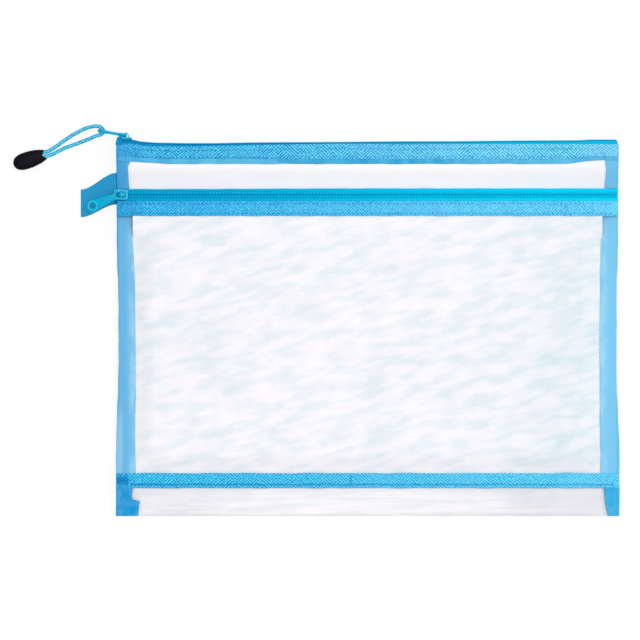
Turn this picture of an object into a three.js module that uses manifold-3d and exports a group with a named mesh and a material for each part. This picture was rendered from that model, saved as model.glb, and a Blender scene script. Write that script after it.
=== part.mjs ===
// Zipper document bag of white nylon mesh, empty and laid flat. Millimetres.
// X runs along the zips, Y toward the top zip, Z up from the table.
// The origin is the centre of the back panel's resting face.
import * as THREE from 'three';
import { mergeVertices } from 'three/addons/utils/BufferGeometryUtils.js';
import Module from 'manifold-3d';

const wasm = await Module();
wasm.setup();

// Bag
const BAG_WIDTH = 340;
const BAG_HEIGHT = 254.4;
const SEAM_RISE = 3.5;          // side seams above the table
const POCKET_DEPTH = 4.7;       // clear depth of the front pocket
const SIDE_SLOPE = 13;          // width of the panels' slope down to a side seam
const POCKET_SLOPE = 14;        // length of the pocket's slope at its top and bottom

// Cloth
const MESH = 0.3;
const BINDING = 0.4;
const ZIP_TAPE = 0.5;
const LAYER_GAP = 0.1;          // between layers sewn together
const EDGE_GAP = 0.2;           // from a cloth edge to the fold round it

// Bindings and strips
const SIDE_BINDING_WIDTH = 9;
const TOP_STRIP_SETBACK = 1.1;  // from the top tape's inner face to the strip's fold
const TOP_STRIP_WIDTH = 11.4;
const TOP_STRIP_EXTRA = 2.7;    // how far the inner leg is wider than the outer one
const FRONT_BINDING_WIDTH = 10.2;
const BOTTOM_BINDING_WIDTH = 10.1;
const BOTTOM_SEAM_UP = 19;      // from the bottom fold to the seam's lower edge
const BOTTOM_BINDING_OVERHANG = 0.7;
const BOTTOM_WRAP_SHORT = 1;    // how far the wrapped back panel stops inside the seam

// Zips
const FRONT_ZIP_DOWN = 36.6;    // from the top edge to the front chain's centre line
const TOP_ZIP_FACE = 9.5;       // across both tapes at the top edge
const ZIP_TAPE_WIDTH = 11;
const TAPE_SLOT = 2;            // open slot between the tapes of one zip
const COIL_WIDTH = 1.85;
const COIL_HEIGHT = 1.3;
const COIL_SPACING = 0.1;       // between the two coils of a chain
const COIL_END = 0.8;           // from a side edge to the coils' end
const ZIP_LANE = 0.5;           // free strip on each side of a slider

// Sliders
const SLIDER_WIDTH = 7.4;
const SLIDER_TAIL_WIDTH = 6;
const SLIDER_NOSE_WIDTH = 3.2;
const SLIDER_TAIL = 4;          // from the bridge's centre to the tail
const SLIDER_SHOULDER = 3;
const SLIDER_NOSE = 5.5;
const SLIDER_PLATE = 0.9;
const SLIDER_RUN = 0.25;        // between a plate or flange and the zip
const SLIDER_FLANGE = 1.2;
const SLIDER_OVER_BINDING = 0.35;
const WEDGE_LENGTH = 4;
const WEDGE_WIDTH = 1.5;
const WEDGE_TIP_WIDTH = 0.6;
const BRIDGE_RISE = 1.25;       // from the outer plate to the pull's turning axis
const BRIDGE_INNER = 1.3;
const BRIDGE_OUTER = 2.1;
const BRIDGE_WIDTH = 1.2;
const TOP_SLIDER_IN = 6.1;      // from the left edge to the bridge's centre
const FRONT_SLIDER_IN = 3.6;
const COIL_START = 0.7;         // coils begin this far before the bridge's centre

// Pulls
const PULL_THICKNESS = 1.5;
const EYE_RADIUS = 2.9;
const EYE_HOLE_RADIUS = 1.7;
const PULL_END_RADIUS = 4;
const PULL_HOLE_RADIUS = 1.9;
const PULL_WAIST = 2.1;         // half width beside the eye
const TOP_PULL_REACH = 15.5;    // from the turning axis to the end hole
const FRONT_PULL_REACH = 21.2;
const TOP_PULL_TILT = 10;       // degrees above -X
const FRONT_PULL_YAW = 23;      // degrees below -X

// Side loop
const LOOP_THICKNESS = 1.1;
const LOOP_LENGTH = 24.5;
const LOOP_SEAM_GAP = 0.3;
const LOOP_ROOT_DOWN = 22;      // from the top edge to the loop's upper corner at the seam
const LOOP_ROOT_WIDTH = 20.7;
const LOOP_END_DOWN = 33.1;     // from the top edge to the loop's upper outer corner
const LOOP_END_WIDTH = 18.1;
const LOOP_LAYER_GAP = 0.5;
const LOOP_FLOOR_GAP = 0.2;

// Cord and its end
const CORD_DIAMETER = 2.6;
const CORD_SIDES = 8;
const CORD_STEPS = 72;
const CORD_END_LENGTH = 23;
const CORD_END_WIDTH = 11.5;
const CORD_END_THICKNESS = 5.5;
const CORD_END_ANGLE = 18;      // degrees below -X
const CORD_END_MOUTH = [-218.5, 118.3];

const topY = BAG_HEIGHT / 2;
const bottomY = -topY;
const halfWidth = BAG_WIDTH / 2;

// Heights of cloth layers laid on each other from a start height
function stack(start, thicknesses) {
  let height = start;
  return thicknesses.map((thickness) => {
    const layer = { low: height, high: height + thickness };
    height = layer.high + LAYER_GAP;
    return layer;
  });
}

const [stripOuter, topMesh, stripInner, topTape] = stack(0, [BINDING, MESH, BINDING, ZIP_TAPE]);
const topHeight = 2 * topTape.low + TOP_ZIP_FACE;
const [sideLow, backEdge, wrapEdge, bottomLow, middleLayer, pocketEdge, sideHigh, bottomHigh] = stack(
  SEAM_RISE,
  [BINDING, MESH, MESH, BINDING, MESH, MESH, BINDING, BINDING],
);
const frontZipRise = sideHigh.high + SLIDER_OVER_BINDING + SLIDER_PLATE + SLIDER_RUN;
const [frontTape, frontInner, pocketTop, frontOuter] = stack(
  frontZipRise,
  [ZIP_TAPE, BINDING, MESH, BINDING],
);
const pocketFlat = middleLayer.high + POCKET_DEPTH;

// Places along Y
const tapeInnerY = topY - ZIP_TAPE;
const stripFoldY = tapeInnerY - TOP_STRIP_SETBACK;
const stripOuterY = stripFoldY - TOP_STRIP_WIDTH;
const stripInnerY = stripOuterY - TOP_STRIP_EXTRA;
const topMeshY = stripFoldY - BINDING - EDGE_GAP;
const topTapeY = topY - (ZIP_TAPE_WIDTH - (TOP_ZIP_FACE - TAPE_SLOT) / 2);
const frontZipY = topY - FRONT_ZIP_DOWN;
const frontFoldY = frontZipY - SLIDER_WIDTH / 2 - ZIP_LANE;
const frontBindingY = frontFoldY - FRONT_BINDING_WIDTH;
const upperFoldY = frontZipY + SLIDER_WIDTH / 2 + ZIP_LANE + ZIP_TAPE;
const flareHighY = stripInnerY - LAYER_GAP;
const flareLowY = upperFoldY + ZIP_LANE;
const seamLowY = bottomY + BOTTOM_SEAM_UP;
const seamHighY = seamLowY + BOTTOM_BINDING_WIDTH;
const seamMeshY = seamLowY + BINDING + EDGE_GAP;
const pocketSlopeLowY = seamHighY + POCKET_SLOPE;
const pocketSlopeHighY = frontBindingY - POCKET_SLOPE;

// Places along X
const meshX = halfWidth - BINDING - EDGE_GAP;
const bindingX = halfWidth - SIDE_BINDING_WIDTH;
const betweenX = bindingX - EDGE_GAP;
const flatX = bindingX - SIDE_SLOPE;
const frontZipX = halfWidth - EDGE_GAP;

// Sign-corrected geometry: faces point out of the body
function outward(geometry) {
  const position = geometry.attributes.position;
  const index = Array.from(geometry.index.array);
  const [a, b, c] = [new THREE.Vector3(), new THREE.Vector3(), new THREE.Vector3()];
  let volume = 0;
  for (let i = 0; i < index.length; i += 3) {
    a.fromBufferAttribute(position, index[i]);
    b.fromBufferAttribute(position, index[i + 1]);
    c.fromBufferAttribute(position, index[i + 2]);
    volume += a.dot(b.cross(c));
  }
  if (volume < 0) {
    index.reverse();
    geometry.setIndex(index);
  }
  return geometry;
}

// Closed body through matching sections; the outline is a section's plan, for the end caps
function loft(sections, outline) {
  const contour = outline.map(([u, v]) => new THREE.Vector2(u, v));
  const turned = THREE.ShapeUtils.isClockWise(contour);
  const rings = turned ? sections.map((ring) => [...ring].reverse()) : sections;
  if (turned) contour.reverse();
  const count = contour.length;
  const index = [];
  for (let s = 0; s + 1 < rings.length; s += 1) {
    for (let i = 0; i < count; i += 1) {
      const low = s * count + i;
      const next = s * count + ((i + 1) % count);
      index.push(low, next, next + count, low, next + count, low + count);
    }
  }
  const last = (rings.length - 1) * count;
  for (const [a, b, c] of THREE.ShapeUtils.triangulateShape(contour, [])) {
    index.push(c, b, a, last + a, last + b, last + c);
  }
  const points = rings.flat().flatMap((point) => point.toArray());
  const geometry = new THREE.BufferGeometry();
  geometry.setAttribute('position', new THREE.Float32BufferAttribute(points, 3));
  geometry.setIndex(index);
  return outward(geometry);
}

// Loft along X of [y, z] outlines, each given as [x, outline]
function alongX(stations) {
  const sections = stations.map(([x, outline]) => outline.map(([y, z]) => new THREE.Vector3(x, y, z)));
  return loft(sections, stations[0][1]);
}

// Loft along Y of [x, z] outlines, each given as [y, outline]
function alongY(stations) {
  const sections = stations.map(([y, outline]) => outline.map(([x, z]) => new THREE.Vector3(x, y, z)));
  return loft(sections, stations[0][1]);
}

// One outline carried straight from -half to +half along X
function bar(half, outline) {
  return alongX([[-half, outline], [half, outline]]);
}

// Sheet outline: a path of [across, z] points and the same path one thickness higher
function sheet(path, thickness) {
  const upper = path.map(([across, z]) => [across, z + thickness]);
  return [...path, ...upper.reverse()];
}

// Folded strip outline: two legs joined by a wall at the fold, open toward -Y or +Y
function foldedStrip(foldY, lowerEndY, upperEndY, low, high) {
  const inward = Math.sign(lowerEndY - foldY);
  const wallY = foldY + inward * BINDING;
  return [
    [lowerEndY, low], [foldY, low], [foldY, high], [upperEndY, high],
    [upperEndY, high - BINDING], [wallY, high - BINDING], [wallY, low + BINDING],
    [lowerEndY, low + BINDING],
  ];
}

function toSolid(geometry) {
  const bare = geometry.clone();
  bare.deleteAttribute('normal');
  bare.deleteAttribute('uv');
  const merged = mergeVertices(bare, 1e-4);
  return new wasm.Manifold(new wasm.Mesh({
    numProp: 3,
    vertProperties: new Float32Array(merged.attributes.position.array),
    triVerts: new Uint32Array(merged.index.array),
  }));
}

function toGeometry(solid) {
  const mesh = solid.getMesh();
  const geometry = new THREE.BufferGeometry();
  geometry.setAttribute('position', new THREE.Float32BufferAttribute(mesh.vertProperties, 3));
  geometry.setIndex(Array.from(mesh.triVerts));
  return geometry;
}

function box(low, high) {
  const size = high.map((value, i) => value - low[i]);
  const centre = high.map((value, i) => (value + low[i]) / 2);
  return new THREE.BoxGeometry(...size).translate(...centre);
}

function extrude(shape, depth) {
  return new THREE.ExtrudeGeometry(shape, { depth, bevelEnabled: false, curveSegments: 10 });
}

const materials = {
  mesh: new THREE.MeshStandardMaterial({ color: 0xf1f4f7, roughness: 0.7, metalness: 0 }),
  binding: new THREE.MeshStandardMaterial({ color: 0x5fb0ee, roughness: 0.6, metalness: 0 }),
  tape: new THREE.MeshStandardMaterial({ color: 0x00b4dc, roughness: 0.65, metalness: 0 }),
  coil: new THREE.MeshStandardMaterial({ color: 0x10a6c8, roughness: 0.4, metalness: 0 }),
  enamel: new THREE.MeshStandardMaterial({ color: 0x00b4d8, roughness: 0.25, metalness: 0.2 }),
  webbing: new THREE.MeshStandardMaterial({ color: 0x3d8fc4, roughness: 0.75, metalness: 0 }),
  cord: new THREE.MeshStandardMaterial({ color: 0x35b5dd, roughness: 0.7, metalness: 0 }),
  black: new THREE.MeshStandardMaterial({ color: 0x131216, roughness: 0.35, metalness: 0 }),
};

const bag = new THREE.Group();

function addPart(name, geometry, material, parent = bag) {
  const mesh = new THREE.Mesh(geometry, material);
  mesh.name = name;
  parent.add(mesh);
  return mesh;
}

// Back panel: lies on the table, rises to its side seams and wraps up over the bottom edge
function backPanel() {
  const wrapY = seamHighY - BOTTOM_WRAP_SHORT;
  const foldSteps = 6;
  const outline = (low) => {
    const radius = (wrapEdge.high - low) / 2;
    const centre = [bottomY + radius, low + radius];
    const arc = (r) => Array.from({ length: foldSteps + 1 }, (_, i) => {
      const angle = -Math.PI / 2 - (i / foldSteps) * Math.PI;
      return [centre[0] + r * Math.cos(angle), centre[1] + r * Math.sin(angle)];
    });
    const outer = [[topMeshY, topMesh.low], [flareHighY, topMesh.low], [flareLowY, low], ...arc(radius),
      [wrapY, wrapEdge.high]];
    const inner = [[topMeshY, topMesh.high], [flareHighY, topMesh.high], [flareLowY, low + MESH],
      ...arc(radius - MESH), [wrapY, wrapEdge.high - MESH]];
    return [...outer, ...inner.reverse()];
  };
  return alongX([
    [-meshX, outline(backEdge.low)], [-bindingX, outline(backEdge.low)], [-flatX, outline(0)],
    [flatX, outline(0)], [bindingX, outline(backEdge.low)], [meshX, outline(backEdge.low)],
  ]);
}

// Middle panel: one sheet from the bottom seam to the top zip
function middlePanel() {
  const raised = topHeight - topMesh.high;
  return bar(meshX, sheet([
    [seamMeshY, middleLayer.low], [flareLowY, middleLayer.low], [flareHighY, raised], [topMeshY, raised],
  ], MESH));
}

// Front pocket: stands off the middle panel; its side edges stop short of the front zip's ends
function pocketPanel() {
  const topEdgeY = frontFoldY - BINDING - EDGE_GAP;
  const seamZ = pocketEdge.low;
  const outline = (flatZ) => sheet([
    [seamMeshY, seamZ], [seamHighY, seamZ], [pocketSlopeLowY, flatZ], [pocketSlopeHighY, flatZ],
    [frontBindingY, pocketTop.low], [topEdgeY, pocketTop.low],
  ], MESH);
  const middle = alongX([
    [-betweenX, outline(seamZ)], [-flatX, outline(pocketFlat)],
    [flatX, outline(pocketFlat)], [betweenX, outline(seamZ)],
  ]);
  const edge = sheet([[seamMeshY, seamZ], [pocketSlopeHighY, seamZ]], MESH);
  const sides = [-1, 1].map((side) => alongX([[side * betweenX, edge], [side * meshX, edge]]));
  return toGeometry(sides.reduce((solid, part) => solid.add(toSolid(part)), toSolid(middle)));
}

// Side binding: a folded strip round the seam, opening out to the full height of the top zip
function sideBinding(side) {
  const outline = (low, high) => [
    [bindingX, low], [halfWidth, low], [halfWidth, high], [bindingX, high],
    [bindingX, high - BINDING], [halfWidth - BINDING, high - BINDING],
    [halfWidth - BINDING, low + BINDING], [bindingX, low + BINDING],
  ].map(([x, z]) => [side * x, z]);
  const closed = outline(sideLow.low, sideHigh.high);
  const open = outline(0, topHeight);
  const endY = topMeshY - EDGE_GAP;
  return alongY([[bottomY, closed], [flareLowY, closed], [flareHighY, open], [endY, open]]);
}

// Strips folded over the top edges of the panels
function topStrip(turn) {
  const outline = foldedStrip(stripFoldY, stripOuterY, stripInnerY, stripOuter.low, stripInner.high);
  return bar(betweenX, outline.map(([y, z]) => [y, turn(z)]));
}

const lowerSide = (z) => z;
const upperSide = (z) => topHeight - z;

// Top zip tape: lies on its strip and turns over the top edge
function topTapePart(turn) {
  const slot = (topHeight - TAPE_SLOT) / 2;
  const outline = [
    [topTapeY, topTape.low], [topY, topTape.low], [topY, slot], [tapeInnerY, slot],
    [tapeInnerY, topTape.high], [topTapeY, topTape.high],
  ];
  return bar(meshX, outline.map(([y, z]) => [y, turn(z)]));
}

// Half of a zip chain: a bar with bevelled top edges, [across, out] from the chain's centre line
function coilOutline(side) {
  const near = COIL_SPACING / 2;
  const far = near + COIL_WIDTH;
  const bevel = COIL_HEIGHT / 4;
  return [
    [near, 0], [far, 0], [far, COIL_HEIGHT - bevel], [far - bevel, COIL_HEIGHT],
    [near + bevel, COIL_HEIGHT], [near, COIL_HEIGHT - bevel],
  ].map(([across, out]) => [side * across, out]);
}

function coil(startX, outline) {
  return alongX([[startX, outline], [halfWidth - COIL_END, outline]]);
}

function topCoil(side) {
  const startX = TOP_SLIDER_IN - COIL_START - halfWidth;
  return coil(startX, coilOutline(side).map(([across, out]) => [topY + out, topHeight / 2 + across]));
}

function frontCoil(side) {
  const startX = FRONT_SLIDER_IN - COIL_START - halfWidth;
  return coil(startX, coilOutline(side).map(([across, out]) => [frontZipY + across, frontTape.high + out]));
}

// Lower tape of the front zip, sewn under the pocket's binding
function frontLowerTape() {
  const innerY = frontZipY - TAPE_SLOT / 2;
  const path = [[innerY - ZIP_TAPE_WIDTH, frontTape.low], [innerY, frontTape.low]];
  return bar(frontZipX, sheet(path, ZIP_TAPE));
}

// Upper tape of the front zip: folded back under itself onto the middle panel
function frontUpperTape() {
  const innerY = frontZipY + TAPE_SLOT / 2;
  const wallY = upperFoldY - ZIP_TAPE;
  const seatZ = middleLayer.high + LAYER_GAP;
  const wallHeight = frontTape.low - seatZ;
  const seatY = upperFoldY - (ZIP_TAPE_WIDTH - (upperFoldY - innerY) - wallHeight);
  const profile = bar(frontZipX, [
    [innerY, frontTape.low], [innerY, frontTape.high], [upperFoldY, frontTape.high],
    [upperFoldY, seatZ], [seatY, seatZ], [seatY, seatZ + ZIP_TAPE], [wallY, seatZ + ZIP_TAPE],
    [wallY, frontTape.low],
  ]);
  const clearZ = sideHigh.high + SLIDER_OVER_BINDING;
  return toGeometry([-1, 1].reduce((solid, side) => {
    const ends = [side * betweenX, side * (halfWidth + EDGE_GAP)].sort((a, b) => a - b);
    const over = box([ends[0], seatY - ZIP_TAPE, seatZ - ZIP_TAPE], [ends[1], upperFoldY + ZIP_TAPE, clearZ]);
    return solid.subtract(toSolid(over));
  }, toSolid(profile)));
}

// Binding folded over the pocket's upper edge
function frontBinding() {
  const outline = foldedStrip(frontFoldY, frontBindingY, frontBindingY, frontInner.low, frontOuter.high);
  return bar(frontZipX, outline);
}

// Bottom seam binding: its lower leg ends between the side bindings, its upper leg wraps them
function bottomBinding() {
  const endX = halfWidth + BOTTOM_BINDING_OVERHANG;
  const wallX = endX - BINDING;
  const strip = foldedStrip(seamLowY, seamHighY, seamHighY, bottomLow.low, bottomHigh.high);
  const pieces = [-1, 1].reduce((solid, side) => {
    const cutEnds = [side * betweenX, side * (endX + BINDING)].sort((a, b) => a - b);
    const wallEnds = [side * wallX, side * endX].sort((a, b) => a - b);
    const cut = box(
      [cutEnds[0], seamLowY - BINDING, bottomLow.low - BINDING],
      [cutEnds[1], seamHighY + BINDING, bottomHigh.low],
    );
    const wall = box([wallEnds[0], seamLowY, sideLow.low], [wallEnds[1], seamHighY, bottomHigh.high]);
    return solid.subtract(toSolid(cut)).add(toSolid(wall));
  }, toSolid(bar(endX, strip)));
  return toGeometry(pieces);
}

// Side loop: webbing folded double, from the side seam down to the table
function sideLoop() {
  const rootX = -halfWidth - LOOP_SEAM_GAP;
  const foldRadius = LOOP_THICKNESS + LOOP_LAYER_GAP / 2;
  const rootZ = (sideLow.low + sideHigh.high) / 2;
  const endZ = LOOP_FLOOR_GAP + foldRadius;
  const steps = 4;
  const spine = Array.from({ length: steps + 1 }, (_, i) => {
    const share = i / steps;
    const ease = share * share * (3 - 2 * share);
    return [rootX - share * (LOOP_LENGTH - foldRadius), THREE.MathUtils.lerp(rootZ, endZ, ease)];
  });
  const fold = (radius) => [-1, 0, 1].map((turn) => [
    spine[steps][0] - radius * Math.cos(turn * Math.PI / 4),
    spine[steps][1] + radius * Math.sin(turn * Math.PI / 4),
  ]);
  const layerEdge = (offset) => [
    ...spine.map(([x, z]) => [x, z - offset]), ...fold(offset),
    ...[...spine].reverse().map(([x, z]) => [x, z + offset]),
  ];
  const outline = [...layerEdge(foldRadius), ...layerEdge(LOOP_LAYER_GAP / 2).reverse()];
  const high = [topY - LOOP_ROOT_DOWN, topY - LOOP_END_DOWN];
  const low = [high[0] - LOOP_ROOT_WIDTH, high[1] - LOOP_END_WIDTH];
  const edge = ([rootY, endY]) => outline.map(([x, z]) => {
    const share = (rootX - x) / LOOP_LENGTH;
    const ease = share * share * (3 - 2 * share);
    return new THREE.Vector3(x, THREE.MathUtils.lerp(rootY, endY, ease), z);
  });
  return loft([edge(low), edge(high)], outline);
}

// Slider frame: X along the zip with the nose toward -X, Z out of the zip, z = 0 at the tape's inside
const flangeZ = ZIP_TAPE + SLIDER_RUN;
const plateZ = ZIP_TAPE + COIL_HEIGHT + SLIDER_RUN;
const axisZ = plateZ + SLIDER_PLATE + BRIDGE_RISE;

function plateShape() {
  const [side, tail, nose] = [SLIDER_WIDTH / 2, SLIDER_TAIL_WIDTH / 2, SLIDER_NOSE_WIDTH / 2];
  const shape = new THREE.Shape();
  shape.moveTo(SLIDER_TAIL, -tail);
  shape.lineTo(SLIDER_TAIL, tail);
  shape.lineTo(-SLIDER_SHOULDER, side);
  shape.quadraticCurveTo(-SLIDER_NOSE, side, -SLIDER_NOSE, nose);
  shape.lineTo(-SLIDER_NOSE, -nose);
  shape.quadraticCurveTo(-SLIDER_NOSE, -side, -SLIDER_SHOULDER, -side);
  shape.closePath();
  return shape;
}

function bridgeShape() {
  const foot = plateZ + SLIDER_PLATE / 2;
  const shape = new THREE.Shape();
  shape.moveTo(BRIDGE_OUTER, foot);
  shape.lineTo(BRIDGE_OUTER, axisZ);
  shape.absarc(0, axisZ, BRIDGE_OUTER, 0, Math.PI, false);
  shape.lineTo(-BRIDGE_OUTER, foot);
  shape.lineTo(-BRIDGE_INNER, foot);
  shape.lineTo(-BRIDGE_INNER, axisZ);
  shape.absarc(0, axisZ, BRIDGE_INNER, Math.PI, 0, true);
  shape.lineTo(BRIDGE_INNER, foot);
  shape.closePath();
  return shape;
}

function sliderBody() {
  const outerTop = plateZ + SLIDER_PLATE;
  const channel = SLIDER_WIDTH / 2 - SLIDER_FLANGE;
  const shell = extrude(plateShape(), outerTop - flangeZ).translate(0, 0, flangeZ);
  const inside = box(
    [-SLIDER_NOSE - 1, -channel, flangeZ - 1], [SLIDER_TAIL + 1, channel, plateZ],
  );
  const innerPlate = extrude(plateShape(), SLIDER_PLATE).translate(0, 0, -SLIDER_RUN - SLIDER_PLATE);
  const wedge = new THREE.Shape([
    new THREE.Vector2(-SLIDER_NOSE, -WEDGE_WIDTH / 2), new THREE.Vector2(-SLIDER_NOSE, WEDGE_WIDTH / 2),
    new THREE.Vector2(WEDGE_LENGTH - SLIDER_NOSE, WEDGE_TIP_WIDTH / 2),
    new THREE.Vector2(WEDGE_LENGTH - SLIDER_NOSE, -WEDGE_TIP_WIDTH / 2),
  ]);
  const wedgeLow = -SLIDER_RUN - SLIDER_PLATE / 2;
  const post = extrude(wedge, plateZ + SLIDER_PLATE / 2 - wedgeLow).translate(0, 0, wedgeLow);
  const bridge = extrude(bridgeShape(), BRIDGE_WIDTH).rotateX(Math.PI / 2).translate(0, BRIDGE_WIDTH / 2, 0);
  return toGeometry(toSolid(shell)
    .subtract(toSolid(inside))
    .add(toSolid(innerPlate))
    .add(toSolid(post))
    .add(toSolid(bridge)));
}

// Pull: X from the turning axis to the end hole, flat in XY, centred on z = 0
function pull(reach) {
  const eyeX = EYE_RADIUS - (EYE_RADIUS - EYE_HOLE_RADIUS) / 2;
  const eyeTurn = Math.PI / 4;
  const eyeEdge = [eyeX + EYE_RADIUS * Math.cos(eyeTurn), EYE_RADIUS * Math.sin(eyeTurn)];
  const waistX = eyeEdge[0] + PULL_WAIST;
  const shape = new THREE.Shape();
  shape.moveTo(eyeEdge[0], eyeEdge[1]);
  shape.absarc(eyeX, 0, EYE_RADIUS, eyeTurn, 2 * Math.PI - eyeTurn, false);
  shape.quadraticCurveTo(waistX, -PULL_WAIST, reach, -PULL_END_RADIUS);
  shape.absarc(reach, 0, PULL_END_RADIUS, -Math.PI / 2, Math.PI / 2, false);
  shape.quadraticCurveTo(waistX, PULL_WAIST, eyeEdge[0], eyeEdge[1]);
  const eyeHole = new THREE.Path().absarc(eyeX, 0, EYE_HOLE_RADIUS, 0, 2 * Math.PI, true);
  const endHole = new THREE.Path().absarc(reach, 0, PULL_HOLE_RADIUS, 0, 2 * Math.PI, true);
  shape.holes.push(eyeHole, endHole);
  return extrude(shape, PULL_THICKNESS).translate(0, 0, -PULL_THICKNESS / 2);
}

// Cord: from the cord end up through the pull's end hole and back, laid down to the table
const CORD_POINTS = [
  [-218.7, 119.8, 2.75], [-216.2, 120.7, 2.7], [-211.4, 123.8, 1.9], [-205, 128.4, 1.45],
  [-198.3, 132.6, 1.8], [-191.8, 135.7, 3.3], [-186.5, 137.1, 4.9], [-182.6, 137.1, 5.8],
  [-180.3, 136.1, 6.1], [-179.4, 134.9, 6.15], [-179.2, 133.6, 6.15], [-179.9, 132.3, 6.15],
  [-181.2, 131.4, 6.1], [-183.6, 130.9, 5.7], [-189.7, 128.4, 4], [-196.5, 125.9, 2.1],
  [-205.3, 122.7, 1.45], [-211.5, 119.6, 2], [-215.3, 117.8, 2.7], [-217.75, 117, 2.75],
];

function pullCord() {
  const curve = new THREE.CatmullRomCurve3(CORD_POINTS.map((point) => new THREE.Vector3(...point)));
  const section = new THREE.Shape(Array.from({ length: CORD_SIDES }, (_, i) => {
    const angle = (i / CORD_SIDES) * 2 * Math.PI;
    return new THREE.Vector2(Math.cos(angle), Math.sin(angle)).multiplyScalar(CORD_DIAMETER / 2);
  }));
  return new THREE.ExtrudeGeometry(section, { steps: CORD_STEPS, extrudePath: curve });
}

// Cord end: a flattened drop, blunt at the mouth and pointed at the other end
function cordEnd() {
  const [length, half] = [CORD_END_LENGTH, CORD_END_WIDTH / 2];
  const profile = [
    [0, 0], [0.55, 0], [0.74, 0.12], [0.9, 0.28], [1, 0.5], [1, 0.65], [0.92, 0.8], [0.62, 0.93], [0, 1],
  ].map(([wide, along]) => new THREE.Vector2(wide * half, along * length));
  const geometry = new THREE.LatheGeometry(profile, 20);
  return geometry.scale(1, 1, CORD_END_THICKNESS / CORD_END_WIDTH);
}

addPart('back_panel', backPanel(), materials.mesh);
addPart('middle_panel', middlePanel(), materials.mesh);
addPart('pocket_panel', pocketPanel(), materials.mesh);
addPart('left_side_binding', sideBinding(-1), materials.binding);
addPart('right_side_binding', sideBinding(1), materials.binding);
addPart('top_back_binding', topStrip(lowerSide), materials.binding);
addPart('top_front_binding', topStrip(upperSide), materials.binding);
addPart('front_zip_binding', frontBinding(), materials.binding);
addPart('bottom_seam_binding', bottomBinding(), materials.binding);
addPart('top_zip_back_tape', topTapePart(lowerSide), materials.tape);
addPart('top_zip_front_tape', topTapePart(upperSide), materials.tape);
addPart('top_zip_back_coil', topCoil(-1), materials.coil);
addPart('top_zip_front_coil', topCoil(1), materials.coil);
addPart('front_zip_lower_tape', frontLowerTape(), materials.tape);
addPart('front_zip_upper_tape', frontUpperTape(), materials.tape);
addPart('front_zip_lower_coil', frontCoil(-1), materials.coil);
addPart('front_zip_upper_coil', frontCoil(1), materials.coil);
addPart('side_loop', sideLoop(), materials.webbing);

// Front slider: the pull lies level and is turned about the bridge's nose-side leg
const frontSlider = new THREE.Group();
frontSlider.position.set(FRONT_SLIDER_IN - halfWidth, frontZipY, frontTape.low);
bag.add(frontSlider);
addPart('front_slider_body', sliderBody(), materials.enamel, frontSlider);
const legX = (BRIDGE_INNER + BRIDGE_OUTER) / 2;
const frontYaw = Math.PI + THREE.MathUtils.degToRad(FRONT_PULL_YAW);
const frontPull = addPart('front_slider_pull', pull(FRONT_PULL_REACH), materials.enamel, frontSlider);
frontPull.position.set(
  -legX - legX * Math.cos(frontYaw), -legX * Math.sin(frontYaw), axisZ,
);
frontPull.rotation.z = frontYaw;

// Top slider: turned so that it rides on the top edge
const topSlider = new THREE.Group();
topSlider.position.set(TOP_SLIDER_IN - halfWidth, tapeInnerY, topHeight / 2);
topSlider.rotation.x = -Math.PI / 2;
bag.add(topSlider);
addPart('top_slider_body', sliderBody(), materials.enamel, topSlider);
const topPull = addPart('top_slider_pull', pull(TOP_PULL_REACH), materials.enamel, topSlider);
topPull.position.set(0, 0, axisZ);
topPull.rotation.y = Math.PI + THREE.MathUtils.degToRad(TOP_PULL_TILT);

addPart('pull_cord', pullCord(), materials.cord);
const tip = addPart('cord_end', cordEnd(), materials.black);
tip.position.set(...CORD_END_MOUTH, CORD_END_THICKNESS / 2);
tip.rotation.z = Math.PI / 2 + THREE.MathUtils.degToRad(CORD_END_ANGLE);

export default bag;
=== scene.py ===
"""Zipper document bag of white net with blue bindings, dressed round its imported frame."""
from __future__ import annotations

import logging
import math
from dataclasses import dataclass
from enum import Enum
from typing import Sequence

import bmesh
import bpy
import numpy as np
from mathutils import Matrix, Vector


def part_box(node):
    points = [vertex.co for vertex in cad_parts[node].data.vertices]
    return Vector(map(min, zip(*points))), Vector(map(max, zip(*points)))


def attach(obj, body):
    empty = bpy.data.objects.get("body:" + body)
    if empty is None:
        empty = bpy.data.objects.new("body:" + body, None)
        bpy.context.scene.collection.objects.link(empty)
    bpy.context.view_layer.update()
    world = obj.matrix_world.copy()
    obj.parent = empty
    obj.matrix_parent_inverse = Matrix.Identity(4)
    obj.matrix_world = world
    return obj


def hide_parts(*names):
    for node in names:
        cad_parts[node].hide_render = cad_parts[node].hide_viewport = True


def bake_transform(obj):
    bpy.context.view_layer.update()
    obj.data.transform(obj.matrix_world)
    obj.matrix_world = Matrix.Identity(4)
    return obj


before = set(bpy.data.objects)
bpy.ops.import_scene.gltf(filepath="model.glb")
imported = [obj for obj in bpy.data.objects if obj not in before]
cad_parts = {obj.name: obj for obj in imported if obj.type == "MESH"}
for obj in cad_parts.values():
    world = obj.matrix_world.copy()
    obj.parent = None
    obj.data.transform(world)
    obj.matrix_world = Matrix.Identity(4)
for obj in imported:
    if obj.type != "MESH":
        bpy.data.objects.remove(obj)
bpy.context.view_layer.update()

LOG = logging.getLogger("bag")
MM = 0.001
Array = np.ndarray
Material = bpy.types.Material
Thing = bpy.types.Object
Colour = tuple[float, float, float]
Pairs = Sequence[tuple[float, float]]
CLOTH_UV = "cloth"
UP = np.array((0.0, 0.0, 1.0))
# Colour that the weave's grooves are darkened toward: painted shade.
GROOVE_SHADE_TONE = (0.0, 0.12, 0.40)

# Between these two values of Y, in mm, the bag rises from the pocket to its top edge.
RISE_Y = (95.8, 111.4)

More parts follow.
